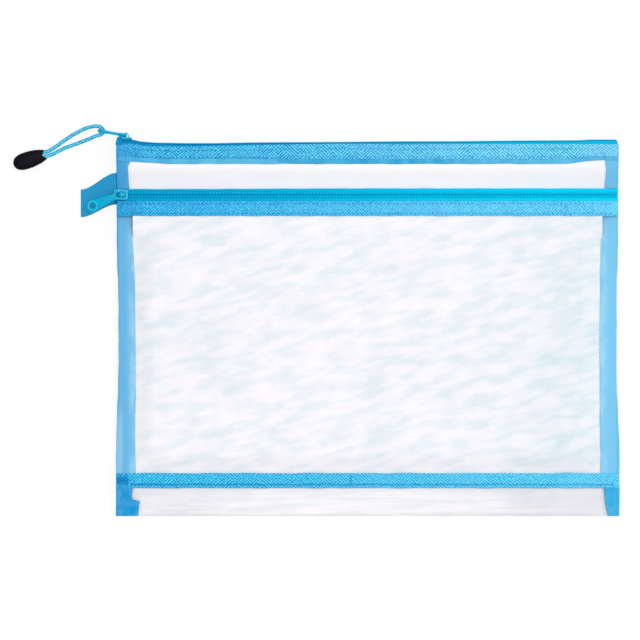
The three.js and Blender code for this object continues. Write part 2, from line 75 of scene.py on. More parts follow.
# How far the top edge sags below a straight line, as pairs of X and drop in mm: first the chain of
# the zip, then the fold of the strip under it.
CHAIN_SAG = (
    (-170, 0), (-160, 0.2), (-154, 1.5), (-144, 2.32), (-124, 2.67), (-103, 2.67), (-83, 2.26),
    (-62, 2.06), (-22, 1.85), (19, 1.44), (60, 1.35), (100, 0.93), (120, 0.78), (141, 0.7),
    (147, 0.5), (150.5, 0.2), (172, 0.2),
)
FOLD_SAG = (
    (-170, 0.3), (-160, 0.5), (-148, 2.2), (-124, 2.5), (-103, 2.0), (-83, 1.7), (-62, 1.3),
    (-22, 0.45), (19, 1.0), (60, 0.7), (141, 0.7), (172, 0.8),
)


def srgb(red: float, green: float, blue: float) -> Colour:
    """Linear colour of an 8-bit screen colour: each share s becomes ((s + 0.055) / 1.055) ** 2.4."""
    shares = (value / 255 for value in (red, green, blue))
    return tuple(s / 12.92 if s <= 0.04045 else ((s + 0.055) / 1.055) ** 2.4 for s in shares)


class Term:
    """A socket of a node tree; arithmetic on a number socket adds Math nodes."""

    def __init__(self, nodes: "Nodes", socket: bpy.types.NodeSocket) -> None:
        """Args: nodes: the tree it belongs to. socket: the output it stands for."""
        self.nodes = nodes
        self.socket = socket

    def _math(self, operation: str, *values: "Term | float") -> "Term":
        """Returns: the output of a Math node with this operation on the values."""
        return self.nodes.node("ShaderNodeMath", {"operation": operation}, dict(enumerate(values)))

    def __add__(self, other: "Term | float") -> "Term":
        """Sum."""
        return self._math("ADD", self, other)

    __radd__ = __add__

    def __mul__(self, other: "Term | float") -> "Term":
        """Product."""
        return self._math("MULTIPLY", self, other)

    __rmul__ = __mul__

    def __sub__(self, other: "Term | float") -> "Term":
        """Difference."""
        return self._math("SUBTRACT", self, other)

    def __rsub__(self, other: float) -> "Term":
        """Difference with this term taken away."""
        return self._math("SUBTRACT", other, self)

    def __truediv__(self, other: "Term | float") -> "Term":
        """Quotient."""
        return self._math("DIVIDE", self, other)

    def __rtruediv__(self, other: float) -> "Term":
        """Quotient with this term below the line."""
        return self._math("DIVIDE", other, self)

    def greater(self, other: "Term | float") -> "Term":
        """The greater of two values."""
        return self._math("MAXIMUM", self, other)

    def sine(self) -> "Term":
        """Sine of the value in radians."""
        return self._math("SINE", self)

    def absolute(self) -> "Term":
        """Value without its sign."""
        return self._math("ABSOLUTE", self)

    def ramp(self, low: float, high: float) -> "Term":
        """Smooth step from 0 at low to 1 at high."""
        settings = {"interpolation_type": "SMOOTHSTEP", "clamp": True}
        return self.nodes.node("ShaderNodeMapRange", settings, {"Value": self, 1: low, 2: high})


class Nodes:
    """A node tree that terms are added to."""

    def __init__(self, tree: bpy.types.NodeTree) -> None:
        """Args: tree: of a material or a world."""
        self.tree = tree

    def node(self, kind: str, settings: dict, inputs: dict, output: int | str = 0) -> Term:
        """Adds a node.

        Args:
            kind: the node's type. settings: its properties, set first. inputs: values or terms
            by socket name or number. output: which socket the term stands for.

        Returns:
            The term of that output.
        """
        node = self.tree.nodes.new(kind)
        for key, value in settings.items():
            setattr(node, key, value)
        for key, value in inputs.items():
            if isinstance(value, Term):
                self.tree.links.new(value.socket, node.inputs[key])
            else:
                node.inputs[key].default_value = value
        return Term(self, node.outputs[output])

    def seen(self) -> Term:
        """Returns: 1 for camera, glossy and transmission rays and 0 for all others."""
        camera, glossy, through = (
            self.node("ShaderNodeLightPath", {}, {}, f"Is {kind} Ray")
            for kind in ("Camera", "Glossy", "Transmission")
        )
        return camera.greater(glossy).greater(through)


class Shader(Nodes):
    """A node material with one Principled surface."""

    def __init__(self, name: str, roughness: float = 0.5, **sockets: float) -> None:
        """Args: name: of the material. roughness: of its surface. sockets: constants by name."""
        self.material = bpy.data.materials.new(name)
        self.material.use_nodes = True
        super().__init__(self.material.node_tree)
        self.surface = self.tree.nodes["Principled BSDF"]
        self.surface.inputs["Roughness"].default_value = roughness
        for key, value in sockets.items():
            self.surface.inputs[key.replace("_", " ")].default_value = value

    def place(self) -> Term:
        """Returns: the object's own coordinates, in metres."""
        return self.node("ShaderNodeTexCoord", {}, {}, "Object")

    def cloth(self) -> Term:
        """Returns: the piece's own map, in millimetres along and across the cloth."""
        return self.node("ShaderNodeUVMap", {"uv_map": CLOTH_UV}, {})

    def part(self, vector: Term, axis: str) -> Term:
        """Returns: one coordinate of a vector."""
        return self.node("ShaderNodeSeparateXYZ", {}, {0: vector}, axis)

    def rightward(self, place: Term) -> Term:
        """Returns: 0 at the left edge of the bag and 1 at its right edge."""
        return self.part(place, "X").ramp(-0.175, 0.175)

    def noise(self, vector: Term, scale: float, detail: float = 2.0) -> Term:
        """Returns: cloudy noise from 0 to 1 at a scale."""
        return self.node("ShaderNodeTexNoise", {}, {"Vector": vector, "Scale": scale, "Detail": detail})

    def turned(self, vector: Term, degrees: float, scale: Sequence[float]) -> Term:
        """Returns: the vector turned about Z, then scaled."""
        turn = self.node("ShaderNodeMapping", {}, {0: vector, 2: (0, 0, math.radians(degrees))})
        return self.node("ShaderNodeVectorMath", {"operation": "MULTIPLY"}, {0: turn, 1: tuple(scale)})

    def mix(self, factor: "Term | float", first: "Term | Colour", second: "Term | Colour") -> Term:
        """Returns: the first colour where the factor is 0 and the second where it is 1."""
        ends = [c if isinstance(c, Term) else (*c, 1.0) for c in (first, second)]
        return self.node(
            "ShaderNodeMix", {"data_type": "RGBA", "clamp_factor": True},
            {0: factor, 6: ends[0], 7: ends[1]}, 2,
        )

    def dress(self, **links: Term) -> None:
        """Links terms to the surface's sockets, named with underscores for spaces."""
        for key, term in links.items():
            self.tree.links.new(term.socket, self.surface.inputs[key.replace("_", " ")])

    def bump(self, height: Term, depth: float, strength: float = 1.0) -> Term:
        """Returns: the normal over a height field from 0 to 1 that is depth metres deep."""
        values = {"Height": height, "Distance": depth, "Strength": strength}
        return self.node("ShaderNodeBump", {}, values)


class Weave(Enum):
    """How a cloth is woven."""

    HERRINGBONE = "herringbone"
    TAPE = "tape"
    RIB = "rib"


@dataclass(frozen=True)
class NetFinish:
    """White nylon net whose layers shimmer against each other in slanted streaks.

    slant is the streaks' angle in degrees and streak their length and width in metres.
    left_edge_shade and right_edge_shade are how much darker the sides are as painted shade,
    crease_shade is how dark the painted shade in the fine creases is, cover is the mean opacity
    and pitch the threads' distance in mm.
    """

    name: str
    light: Colour
    shade: Colour
    tint: Colour
    slant: float
    streak: tuple[float, float]
    strength: float
    left_edge_shade: float = 0.2
    right_edge_shade: float = 0.3
    crease_shade: float = 0.0
    cover: float = 0.84
    pitch: float = 0.55

    def make(self) -> Material:
        """Returns: the material: streaks are noise stretched along the slant, threads are two sines."""
        shader = Shader(self.name, 0.7, Specular_IOR_Level=0.15)
        place = shader.place()
        stretched = shader.turned(place, -self.slant, (1 / self.streak[0], 1 / self.streak[1], 1))
        streaks = shader.noise(stretched, 1.0, 4.0).ramp(0.40, 0.64)
        blots = shader.noise(place, 80.0, 3.0).ramp(0.38, 0.66)
        clouds = shader.noise(place, 22.0, 2.0).ramp(0.3, 0.7)
        x = shader.part(place, "X")
        # Painted shade: the net turns darker and bluer toward both sides of the bag.
        edges = x.ramp(-0.05, -0.17) * self.left_edge_shade + x.ramp(0.05, 0.16) * self.right_edge_shade
        amount = (streaks * 0.55 + blots * 0.25 + clouds * 0.2) * self.strength + edges
        tinted = shader.mix((1 - streaks) * 0.6, self.light, self.tint)
        colour = shader.mix(amount, tinted, self.shade)
        # Painted shade in the fine creases of the net.
        if self.crease_shade:
            lines = shader.noise(shader.turned(place, 1.5, (9, 420, 1)), 1.0, 2.0)
            crease_shade_mask = 1 - ((lines - 0.5).absolute() * 26).ramp(0.0, 1.0)
            colour = shader.mix(crease_shade_mask * self.crease_shade, colour, tuple(0.62 * c for c in self.shade))
        turn = 2 * math.pi / (self.pitch * MM)
        across = (x * turn).sine()
        along = (shader.part(place, "Y") * turn).sine()
        threads = (across.absolute() + along.absolute()) * 0.5
        alpha = threads * 0.16 + (self.cover - 0.08)
        shader.dress(Base_Color=colour, Alpha=alpha, Normal=shader.bump(threads, 0.00006, 0.5))
        return shader.material


@dataclass(frozen=True)
class ClothFinish:
    """Woven binding, tape or webbing, paler toward the right of the bag as painted light.

    pitch is the yarns' distance and depth their relief in mm. pale and dark are how far ridges go
    toward ridge_highlight_tone, a painted highlight, and grooves toward the groove shade tone, a
    painted shade. flip is the length of a herringbone's stripe in mm, and selvedge the width of a
    smooth lower edge. end_block and left_end are how dark the strip is on its sewn block and near
    its left end.
    """

    name: str
    left: Colour
    right: Colour
    weave: Weave
    pitch: float
    depth: float
    pale: float
    dark: float
    ridge_highlight_tone: Colour = (0.12, 0.84, 0.93)
    flip: float = 7.0
    selvedge: float = 0.0
    end_block: float = 0.0
    left_end: float = 0.0

    def height(self, shader: Shader, cloth: Term, place: Term) -> Term:
        """Relief of the weave, from 0 to 1.

        Twill is a sine of along plus or minus across, whose slant turns over every flip; tape and
        rib are sines of one of them. A little noise unsettles the phase.

        Args:
            shader: the material. cloth: the map in mm. place: the object's coordinates.

        Returns:
            The relief.
        """
        along, across = shader.part(cloth, "X"), shader.part(cloth, "Y")
        turn = 2 * math.pi / self.pitch
        unsettled = shader.noise(place, 420.0, 1.0) * 4.0
        if self.weave is Weave.HERRINGBONE:
            slanted, other = (along + across) * turn, (along - across) * turn
            flips = along * (math.pi / self.flip) + shader.noise(place, 70.0, 2.0) * 9
            turned = flips.sine().ramp(-0.3, 0.3)
            one, two = (slanted + unsettled).sine(), (other + unsettled).sine()
            broken = shader.noise(place, 850.0, 2.0).ramp(0.36, 0.62)
            wave = (one * turned + two * (1 - turned)) * (broken * 0.55 + 0.45) + (broken - 0.5) * 0.7
        elif self.weave is Weave.TAPE:
            wave = ((along + (across * turn).sine() * 0.12) * turn + unsettled).sine()
        else:
            wave = ((along + across * 0.12) * turn).sine()
        yarn = (along * (turn * 1.9) + across * (turn * 0.4)).sine() * (across * (turn * 1.6)).sine()
        return (wave * 0.5 + 0.5) * 0.8 + (yarn * 0.5 + 0.5) * 0.2

    def make(self) -> Material:
        """Returns: the material: painted shade in grooves, painted highlight on ridges, slow wear."""
        shader = Shader(self.name, 0.75, Specular_IOR_Level=0.05, Sheen_Weight=0.02, Sheen_Roughness=0.5)
        cloth, place = shader.cloth(), shader.place()
        height = self.height(shader, cloth, place)
        # Painted light: each colour runs paler from left to right, a sheen toward the right of the bag.
        toward_right = shader.rightward(place)
        ends = (self.left, self.right)
        base = shader.mix(toward_right, *ends)
        # Ridges paler as painted highlight and grooves darker as painted shade, both following the
        # relief.
        ridge = shader.mix(toward_right, *(self.toward(c, self.ridge_highlight_tone, self.pale) for c in ends))
        groove = shader.mix(toward_right, *(self.toward(c, GROOVE_SHADE_TONE, self.dark) for c in ends))
        worn = shader.noise(place, 130.0, 3.0).ramp(0.3, 0.72)
        woven = shader.mix(height.ramp(0.18, 0.82), groove, ridge)
        rubbed = shader.noise(place, 38.0, 2.0).ramp(0.42, 0.66)
        woven = shader.mix(rubbed * 0.25, woven, base)
        if self.selvedge:
            at_left = shader.part(place, "X").ramp(-0.03, -0.09)
            across = shader.part(cloth, "Y") - at_left * 0.8
            inside = across.ramp(self.selvedge - 0.3, self.selvedge + 0.3)
            line = 1 - ((across - self.selvedge - 0.2).absolute() / 0.6).ramp(0.0, 1.0)
            # The smooth edge is paler in worn patches and toward both ends; its paling toward the right
            # is painted light.
            patches = worn * 0.3 + (at_left + toward_right).ramp(0.55, 0.95) * 0.45
            smooth_edge = shader.mix(patches, srgb(44, 148, 198), srgb(100, 182, 220))
            woven = shader.mix(inside, smooth_edge, woven)
            woven = shader.mix(line * 0.6, woven, groove)
        if self.left_end:
            end = shader.part(place, "X").ramp(-0.146, -0.164)
            woven = shader.mix(end * self.left_end, woven, groove)
        if self.end_block:
            block = shader.part(place, "X").ramp(-0.1612, -0.1622)
            woven = shader.mix(block * self.end_block, woven, groove)
        shader.dress(
            Base_Color=shader.mix(worn * 0.14, woven, ridge),
            Roughness=worn * 0.15 + 0.68,
            Normal=shader.bump(height, self.depth * MM, 0.9),
        )
        return shader.material

    @staticmethod
    def toward(colour: Colour, other: Colour, share: float) -> Colour:
        """Colour a share of the way toward another."""
        return tuple(a + (b - a) * share for a, b in zip(colour, other))


@dataclass(frozen=True)
class SatinFinish:
    """Thin satin of the side bindings, paler where it lies over the net: partly see-through, partly
    painted sheen.

    Pale patches run down its inner half, its outer edge is darker, or pale for the lower third by
    the sliver's share, and below and above the pocket it is doubled and deeper in colour.
    """

    name: str
    deep: Colour
    middle: Colour
    rim: Colour
    deep_low: float
    deep_high: float
    sliver: float = 0.0

    def make(self) -> Material:
        """Returns: the material, painted by the distance from the bag's middle and along the strip."""
        shader = Shader(self.name, 0.5, Specular_IOR_Level=0.06)
        place, cloth = shader.place(), shader.cloth()
        x, y = shader.part(place, "X").absolute(), shader.part(place, "Y")
        wander = (shader.noise(shader.turned(place, 0, (40, 14, 40)), 1.0, 2.0) - 0.5) * 0.006
        inner = 1 - (x + wander).ramp(0.1580, 0.1650)
        # Pale patches on the inner half: the white net seen through the satin, and painted sheen.
        patches = shader.noise(shader.turned(place, 0, (170, 80, 80)), 1.0, 3.0).ramp(0.36, 0.64)
        pale = shader.mix(inner * (patches * 0.65 + 0.35), self.middle, self.rim)
        pale = shader.mix(x.ramp(0.1675, 0.1700) * 0.35, pale, self.deep)
        sliver = (x + wander).ramp(0.1655, 0.1682) * y.ramp(-0.045, -0.070) * self.sliver
        pale = shader.mix(sliver, pale, self.rim)
        lower = y.ramp(-0.1000, -0.1085) * self.deep_low
        upper = y.ramp(0.0745, 0.0775) * self.deep_high
        stain = shader.noise(place, 150.0, 3.0).ramp(0.3, 0.7) * 0.3 + 0.72
        colour = shader.mix((lower + upper) * stain, pale, self.deep)
        turn = 2 * math.pi / 0.7
        weave = ((shader.part(cloth, "X") * 0.2 + shader.part(cloth, "Y")) * turn).sine() * 0.5 + 0.5
        # The weave's low parts lean toward the deep colour: painted shade in its grooves.
        shader.dress(
            Base_Color=shader.mix((1 - weave) * 0.10, colour, self.deep),
            Roughness=patches * 0.2 + 0.42,
            Normal=shader.bump(weave, 0.00005, 0.7),
        )
        return shader.material


@dataclass(frozen=True)
class MouldedFinish:
    """Enamel, thread or moulded plastic with faint flow marks; right is its colour at the right, paler by
    painted light.
    """

    name: str
    body: Colour
    rubbed: Colour
    roughness: float
    coat: float = 0.0
    specular: float = 0.2
    right: Colour | None = None

    def make(self) -> Material:
        """Returns: the material: slow noise in tone and gloss, fine noise in relief."""
        gloss = {"Coat_Weight": self.coat, "Specular_IOR_Level": self.specular}
        shader = Shader(self.name, self.roughness, **gloss)
        place = shader.place()
        slow = shader.noise(place, 160.0, 2.0).ramp(0.35, 0.75)
        fine = shader.noise(place, 1400.0, 2.0)
        colour = shader.mix(slow * 0.4, self.body, self.rubbed)
        # Painted light: the colour turns paler toward the right of the bag.
        if self.right:
            colour = shader.mix(shader.rightward(place), colour, self.right)
        shader.dress(
            Base_Color=colour,
            Roughness=slow * 0.14 + self.roughness,
            Normal=shader.bump(fine, 0.00003, 0.35),
        )
        return shader.material


@dataclass(frozen=True)
class BraidFinish:
    """Braided cord: crossing yarns, darker where they dip as painted shade, with darker flecks."""

    name: str
    light: Colour
    dark: Colour
    pitch: float = 4.4

    def make(self) -> Material:
        """Returns: the material: two families of yarns, sines of along plus and minus around."""
        shader = Shader(self.name, 0.7, Specular_IOR_Level=0.12)
        cloth = shader.cloth()
        along, around = shader.part(cloth, "X"), shader.part(cloth, "Y")
        turn = 2 * math.pi / self.pitch
        one = (along * (turn * 2) + around * 2.6).sine()
        two = (along * (turn * 2) - around * 2.6).sine()
        crossing = (one * two) * 0.5 + 0.5
        flecks = shader.noise(cloth, 0.9, 2.0).ramp(0.46, 0.58)
        # Painted shade where the yarns dip; the flecks are the cord's own colour.
        amount = (1 - crossing).ramp(0.3, 0.7) * 0.62 + flecks * 0.42
        shader.dress(
            Base_Color=shader.mix(amount, self.light, self.dark),
            Normal=shader.bump(crossing, 0.0003, 0.8),
        )
        return shader.material


class Finishes:
    """Every material of the bag, made once and kept under a short name."""

    def __init__(self) -> None:
        """Makes the materials."""
        white, clear, pink = srgb(247, 246, 249), srgb(254, 253, 254), srgb(252, 245, 249)
        # Thread colour at the right of the bag, paler by painted light.
        thread_lit_right = srgb(40, 158, 220)
        for key, *facts in (
            ("pocket", white, srgb(196, 219, 229), pink, 15, (0.024, 0.0064), 0.50, 0.04, 0.24),
            ("window", clear, srgb(222, 228, 236), pink, 3, (0.05, 0.005), 0.16, 0.05, 0.22),
            ("back", white, srgb(202, 208, 215), pink, 2, (0.06, 0.0045), 0.36, 0.2, 0.42, 0.10),
        ):
            setattr(self, key, NetFinish(f"net_{key}", *facts).make())
        twill = (Weave.HERRINGBONE, 2.0, 0.16, 0.54, 0.7)
        top = (Weave.HERRINGBONE, 2.25, 0.2, 0.66, 0.82)
        seam = (Weave.HERRINGBONE, 2.15, 0.16, 0.56, 0.74)
        tape = (Weave.TAPE, 1.1, 0.08, 0.12, 0.4, (0.0, 0.85, 1.0))
        rib = (Weave.RIB, 1.5, 0.12, 0.12, 0.14, (0.2, 0.6, 0.9))
        selvedge = {"flip": 5.6, "selvedge": 3.0, "left_end": 0.3}
        block = {"flip": 5.2, "end_block": 0.22}
        # Colours at the left and at the right of the bag; the right one is paler by painted light.
        for key, name, left, right, weave, extras in (
            ("twill", "binding_herringbone", (38, 148, 226), (120, 205, 251), twill, {"left_end": 0.4}),
            ("top_twill", "binding_herringbone_selvedge", (56, 146, 219), (154, 213, 252), top, selvedge),
            ("seam", "binding_seam", (44, 163, 226), (112, 202, 243), seam, block),
            ("tape", "zip_tape_weave", (0, 164, 207), (0, 224, 248), tape, {}),
            ("upper_tape", "zip_tape_upper_weave", (0, 156, 198), (0, 211, 243), tape, {}),
            ("top_tape", "zip_tape_top_weave", (0, 126, 186), (0, 184, 224), tape, {}),
            ("webbing", "webbing_rib", (20, 144, 190), (30, 152, 200), rib, {}),
        ):
            setattr(self, key, ClothFinish(name, srgb(*left), srgb(*right), *weave, **extras).make())
        # One satin in two copies: the right binding's copy is paler by painted light, a sheen toward the
        # right of the bag.
        for key, *facts in (
            ("satin_left", srgb(0, 138, 200), srgb(102, 173, 215), srgb(150, 200, 228), 0.98, 0.56, 0.6),
            ("satin_right", srgb(24, 158, 212), srgb(118, 188, 224), srgb(152, 204, 230), 0.9, 0.2),
        ):
            setattr(self, key, SatinFinish(f"binding_{key}", *facts).make())
        for key, name, *facts in (
            # Coil and thread end with their colour at the right of the bag, paler by painted light.
            ("coil", "coil_nylon", srgb(0, 156, 206), srgb(0, 164, 210), 0.5, 0, 0, srgb(0, 190, 226)),
            ("enamel", "slider_enamel_gloss", srgb(0, 154, 196), srgb(0, 176, 210), 0.2, 0.08, 0.02),
            # Darker and paler copies of the slider enamel: painted shade and painted highlight.
            ("dark_enamel", "slider_enamel_painted_shade", srgb(0, 138, 182), srgb(0, 158, 200), 0.22, 0.1, 0.04),
            ("rim_enamel", "slider_enamel_painted_highlight", srgb(0, 180, 214), srgb(20, 200, 228), 0.16, 0.35, 0.08),
            ("black", "cord_end_gloss", srgb(10, 9, 18), srgb(20, 19, 32), 0.32, 0, 0.05),
            ("thread", "sewing_thread", srgb(4, 124, 194), srgb(24, 140, 206), 0.7, 0, 0.04, thread_lit_right),
            ("pale_thread", "sewing_thread_pale", srgb(20, 194, 230), srgb(84, 212, 240), 0.7, 0, 0.04),
            ("side_thread", "sewing_thread_side", srgb(70, 166, 222), srgb(110, 190, 232), 0.7, 0, 0.1),
        ):
            setattr(self, key, MouldedFinish(name, *facts).make())
        self.braid = BraidFinish("cord_braid", srgb(100, 226, 252), srgb(0, 112, 168), 3.6).make()


def smooth(share: Array) -> Array:
    """Smooth step: 3 s squared minus 2 s cubed, with s held between 0 and 1."""
    held = np.clip(share, 0.0, 1.0)
    return held * held * (3 - 2 * held)


def step(value: Array, low: float, high: float) -> Array:
    """Smooth step of a value from low to high."""
    return smooth((value - low) / (high - low))


def knots(value: Array, pairs: Pairs) -> Array:
    """Value read off straight lines between pairs of place and value."""
    places, values = zip(*pairs)
    return np.interp(value, places, values)


def sag(x: Array, y: Array, pairs: Pairs, start: float, stop: float) -> Array:
    """Y drawn down by a sag read off along X, none of it below start and all of it above stop."""
    return y - knots(x, pairs) * step(y, start, stop)


def ripple(x: Array, y: Array, waves: Sequence[tuple[float, float, float]]) -> Array:
    """Sum of sines: each wave is its length in mm, its direction in degrees and its phase."""
    total = np.zeros(np.broadcast(x, y).shape)
    for length, degrees, phase in waves:
        turn = math.radians(degrees)
        total = total + np.sin(2 * np.pi * (x * math.cos(turn) + y * math.sin(turn)) / length + phase)
    return total / len(waves)


def grid(x: "Array | float", y: "Array | float", z: "Array | float") -> Array:
    """Points whose three coordinates are spread to one shape."""
    return np.stack(np.broadcast_arrays(x, y, z), -1)


def row(start: float, end: float, count: int) -> Array:
    """Even values from start to end across a grid."""
    return np.linspace(start, end, count)[None, :]


def column(start: float, end: float, count: int) -> Array:
    """Even values from start to end along a grid."""
    return np.linspace(start, end, count)[:, None]


def full_turn(count: int) -> Array:
    """Even angles round a circle, in radians."""
    return np.linspace(0, 2 * np.pi, count, endpoint=False)


def legs(x: Array, *parts: tuple["Array | float", "Array | float"]) -> Array:
    """Points of a strip along X, put together across from legs with their own Y and Z."""
    return np.concatenate([grid(x, y, z) for y, z in parts], 1)


def run_along(points: Array) -> Array:
    """Distance run along a row of points, from 0 at the first."""
    return np.concatenate([[0.0], np.cumsum(np.linalg.norm(np.diff(points, axis=0), axis=1))])


def grid_faces(rows: int, columns: int, around: bool = False) -> Array:
    """Quads of a grid of points, closed from the last column to the first where it goes around."""
    first = np.arange(rows - 1)[:, None] * columns
    here = np.arange(columns if around else columns - 1)[None, :]
    after = (here + 1) % columns
    quads = np.stack([first + here, first + after, first + columns + after, first + columns + here], -1)
    return quads.reshape(-1, 4)


def piece(
    name: str, points: Array, faces: list, material: Material, cloth: Array | None = None,
    weld: float = 0.0,
) -> Thing:
    """Makes a closed piece with its faces outward.

    Args:
        name: of the object. points: in mm, one row each. faces: lists of point numbers.
        material: its finish. cloth: its map in mm, one row to a point. weld: distance in mm within
        which points are joined.

    Returns:
        The object, with its place in its mesh, in metres.
    """
    mesh = bpy.data.meshes.new(name)
    mesh.from_pydata((points * MM).tolist(), [], faces)
    if cloth is not None:
        corners = np.empty(len(mesh.loops), dtype=np.int32)
        mesh.loops.foreach_get("vertex_index", corners)
        layer = mesh.uv_layers.new(name=CLOTH_UV)
        layer.data.foreach_set("uv", cloth[corners].astype(np.float32).ravel())
    shell = bmesh.new()
    shell.from_mesh(mesh)
    if weld:
        bmesh.ops.remove_doubles(shell, verts=shell.verts, dist=weld * MM)
    bmesh.ops.recalc_face_normals(shell, faces=shell.faces)
    shell.to_mesh(mesh)
    shell.free()
    mesh.polygons.foreach_set("use_smooth", np.ones(len(mesh.polygons), dtype=bool))
    mesh.materials.append(material)
    made = bpy.data.objects.new(name, mesh)
    bpy.context.scene.collection.objects.link(made)
    return made


def ribbon(
    name: str, middle: Array, thickness: float, material: Material, rounded: bool = True,
) -> Thing:
    """Closed cloth round a middle surface.

    Each point goes half a thickness out along the surface's normal, the cross product of its two
    tangents, on both sides; the long edges are rounded by a further point in the middle plane.

    Args:
        name: of the object. middle: grid of points in mm, along by across. thickness: in mm.
        material: its finish. rounded: whether the long edges bulge by a third of the thickness.

    Returns:
        The object, with a map of mm along and across the cloth.
    """
    along, across = np.gradient(middle, axis=0), np.gradient(middle, axis=1)
    normal = np.cross(along, across)
    normal /= np.linalg.norm(normal, axis=-1, keepdims=True) + 1e-12
    upper, lower = middle + normal * thickness / 2, middle - normal * thickness / 2
    outward = across / (np.linalg.norm(across, axis=-1, keepdims=True) + 1e-12) * thickness / 3
    far, near = middle[:, -1:] + outward[:, -1:], middle[:, :1] - outward[:, :1]
    bands = [upper, far, lower[:, ::-1], near] if rounded else [upper, lower[:, ::-1]]
    ring = np.concatenate(bands, axis=1)
    rows, columns = ring.shape[:2]
    run, width = run_along(middle[:, middle.shape[1] // 2]), run_along(middle[middle.shape[0] // 2])
    widths = [width, width[-1:], width[::-1], width[:1]] if rounded else [width, width[::-1]]
    cloth = np.stack(np.broadcast_arrays(run[:, None], np.concatenate(widths)[None, :]), -1)
    faces = grid_faces(rows, columns, True).tolist()
    count = middle.shape[1]
    top = np.arange(count)
    bottom = columns - 1 - top - (1 if rounded else 0)
    ends = np.stack([top[:-1], top[1:], bottom[1:], bottom[:-1]], -1)
    for start in (0, (rows - 1) * columns):
        faces += (ends + start).tolist()
        if rounded:
            faces += [[start + count - 1, start + count, start + count + 1]]
            faces += [[start, start + columns - 1, start + columns - 2]]
    return piece(name, ring.reshape(-1, 3), faces, material, cloth.reshape(-1, 2))


def tube(
    name: str, path: Array, radius: float, sides: int, reference: Array, material: Material,
    flatten: float = 1.0,
) -> Thing:
    """Round bar along a path: rings in the plane of the path's normal and binormal.

    Args:
        name: of the object. path: points in mm. radius: in mm. sides: points round a ring.
        reference: direction that the normals lean to. material: its finish. flatten: share
        of the radius along the binormal.

    Returns:
        The object, with a map of mm along the bar and turns round it.
    """
    tangent = np.gradient(path, axis=0)
    tangent /= np.linalg.norm(tangent, axis=1, keepdims=True)
    lean = reference - (tangent @ reference)[:, None] * tangent
    lean /= np.linalg.norm(lean, axis=1, keepdims=True)
    side = np.cross(tangent, lean)
    turn = full_turn(sides)
    around = (np.cos(turn)[:, None] * lean[:, None], flatten * np.sin(turn)[:, None] * side[:, None])
    rings = path[:, None] + radius * (around[0] + around[1])
    cloth = grid(run_along(path)[:, None], np.sin(turn)[None, :], 0.0)[..., :2]
    faces = grid_faces(len(path), sides, True).tolist()
    faces += [list(range(sides)), list(range((len(path) - 1) * sides, len(path) * sides))]
    return piece(name, rings.reshape(-1, 3), faces, material, cloth.reshape(-1, 2))


def stitches(name: str, start: Array, end: Array, radius: float, material: Material) -> Thing:
    """Row of stitches: each is a thin bar from start to end, bowed up by a half sine between them.

    Args:
        name: of the object. start, end: points in mm, one row to a stitch. radius: of the thread in
        mm. material: its finish.

    Returns:
        The object.
    """
    sides = 6
    share = np.array([0.0, 0.16, 0.5, 0.84, 1.0])
    wide = radius * np.array([0.3, 0.85, 1.0, 0.85, 0.3])
    bow = radius * 1.1 * np.sin(np.pi * share) - radius * 0.25
    line = end - start
    side = np.cross(line, UP)
    side /= np.linalg.norm(side, axis=1, keepdims=True)
    centre = start[:, None] + line[:, None] * share[:, None] + bow[:, None] * UP
    turn = full_turn(sides)[:, None]
    ring = np.cos(turn) * side[:, None, None] + np.sin(turn) * UP
    points = centre[:, :, None] + wide[:, None, None] * ring
    count = len(share) * sides
    offset = np.arange(len(start))[:, None, None] * count
    caps = np.stack([np.arange(sides), np.arange(count - sides, count)])
    quads = (grid_faces(len(share), sides, True) + offset).reshape(-1, 4)
    faces = quads.tolist() + (caps + offset).reshape(-1, sides).tolist()
    return piece(name, points.reshape(-1, 3), faces, material)


def sew(
    name: str, x: Array, y: "Array | float", z: "Array | float", run: Sequence[float], radius: float,
    thread: Material, slot: str = "binding_blue",
) -> None:
    """Puts a row of stitches on the bag.

    Args:
        name: of the object. x, y, z: where the stitches start, in mm. run: from each start to its
            end. radius: of the thread. thread: its finish. slot: not used.
    """
    start = grid(x, y, z)
    stand_for(stitches(name, start, start + list(run), radius, thread), slot)


def plate(
    name: str, loops: Sequence[Array], low: float, high: float, bevel: float,
    material: Material, place: Matrix,
) -> Thing:
    """Flat plate with rounded rims: a filled flat curve given depth and bevel, then made a mesh.

    Args:
        name: of the object. loops: outline and holes in mm. low, high: its faces in mm.
        bevel: radius of its rims. material: its finish. place: from its own frame to the bag's.

    Returns:
        The object.
    """
    curve = bpy.data.curves.new(name, "CURVE")
    curve.dimensions = "2D"
    curve.fill_mode = "BOTH"
    curve.extrude = (high - low) / 2 - bevel
    curve.bevel_depth = bevel
    curve.bevel_resolution = 3
    curve.offset = -bevel
    for loop in loops:
        spline = curve.splines.new("POLY")
        spline.points.add(len(loop) - 1)
        spline.points.foreach_set("co", np.pad(loop, ((0, 0), (0, 2)), constant_values=0.0).ravel())
        spline.use_cyclic_u = True
    made = bpy.data.objects.new(name + "_outline", curve)
    mesh = made.to_mesh()
    points = np.empty(len(mesh.vertices) * 3)
    mesh.vertices.foreach_get("co", points)
    faces = [list(face.vertices) for face in mesh.polygons]
    points = points.reshape(-1, 3) + [0, 0, (low + high) / 2]
    made.to_mesh_clear()
    bpy.data.objects.remove(made)
    bpy.data.curves.remove(curve)
    return piece(name, moved(points, place), faces, material, weld=0.001)


def moved(points: Array, place: Matrix) -> Array:
    """Points turned and shifted by a place."""
    return points @ np.array(place.to_3x3()).T + np.array(place.translation)


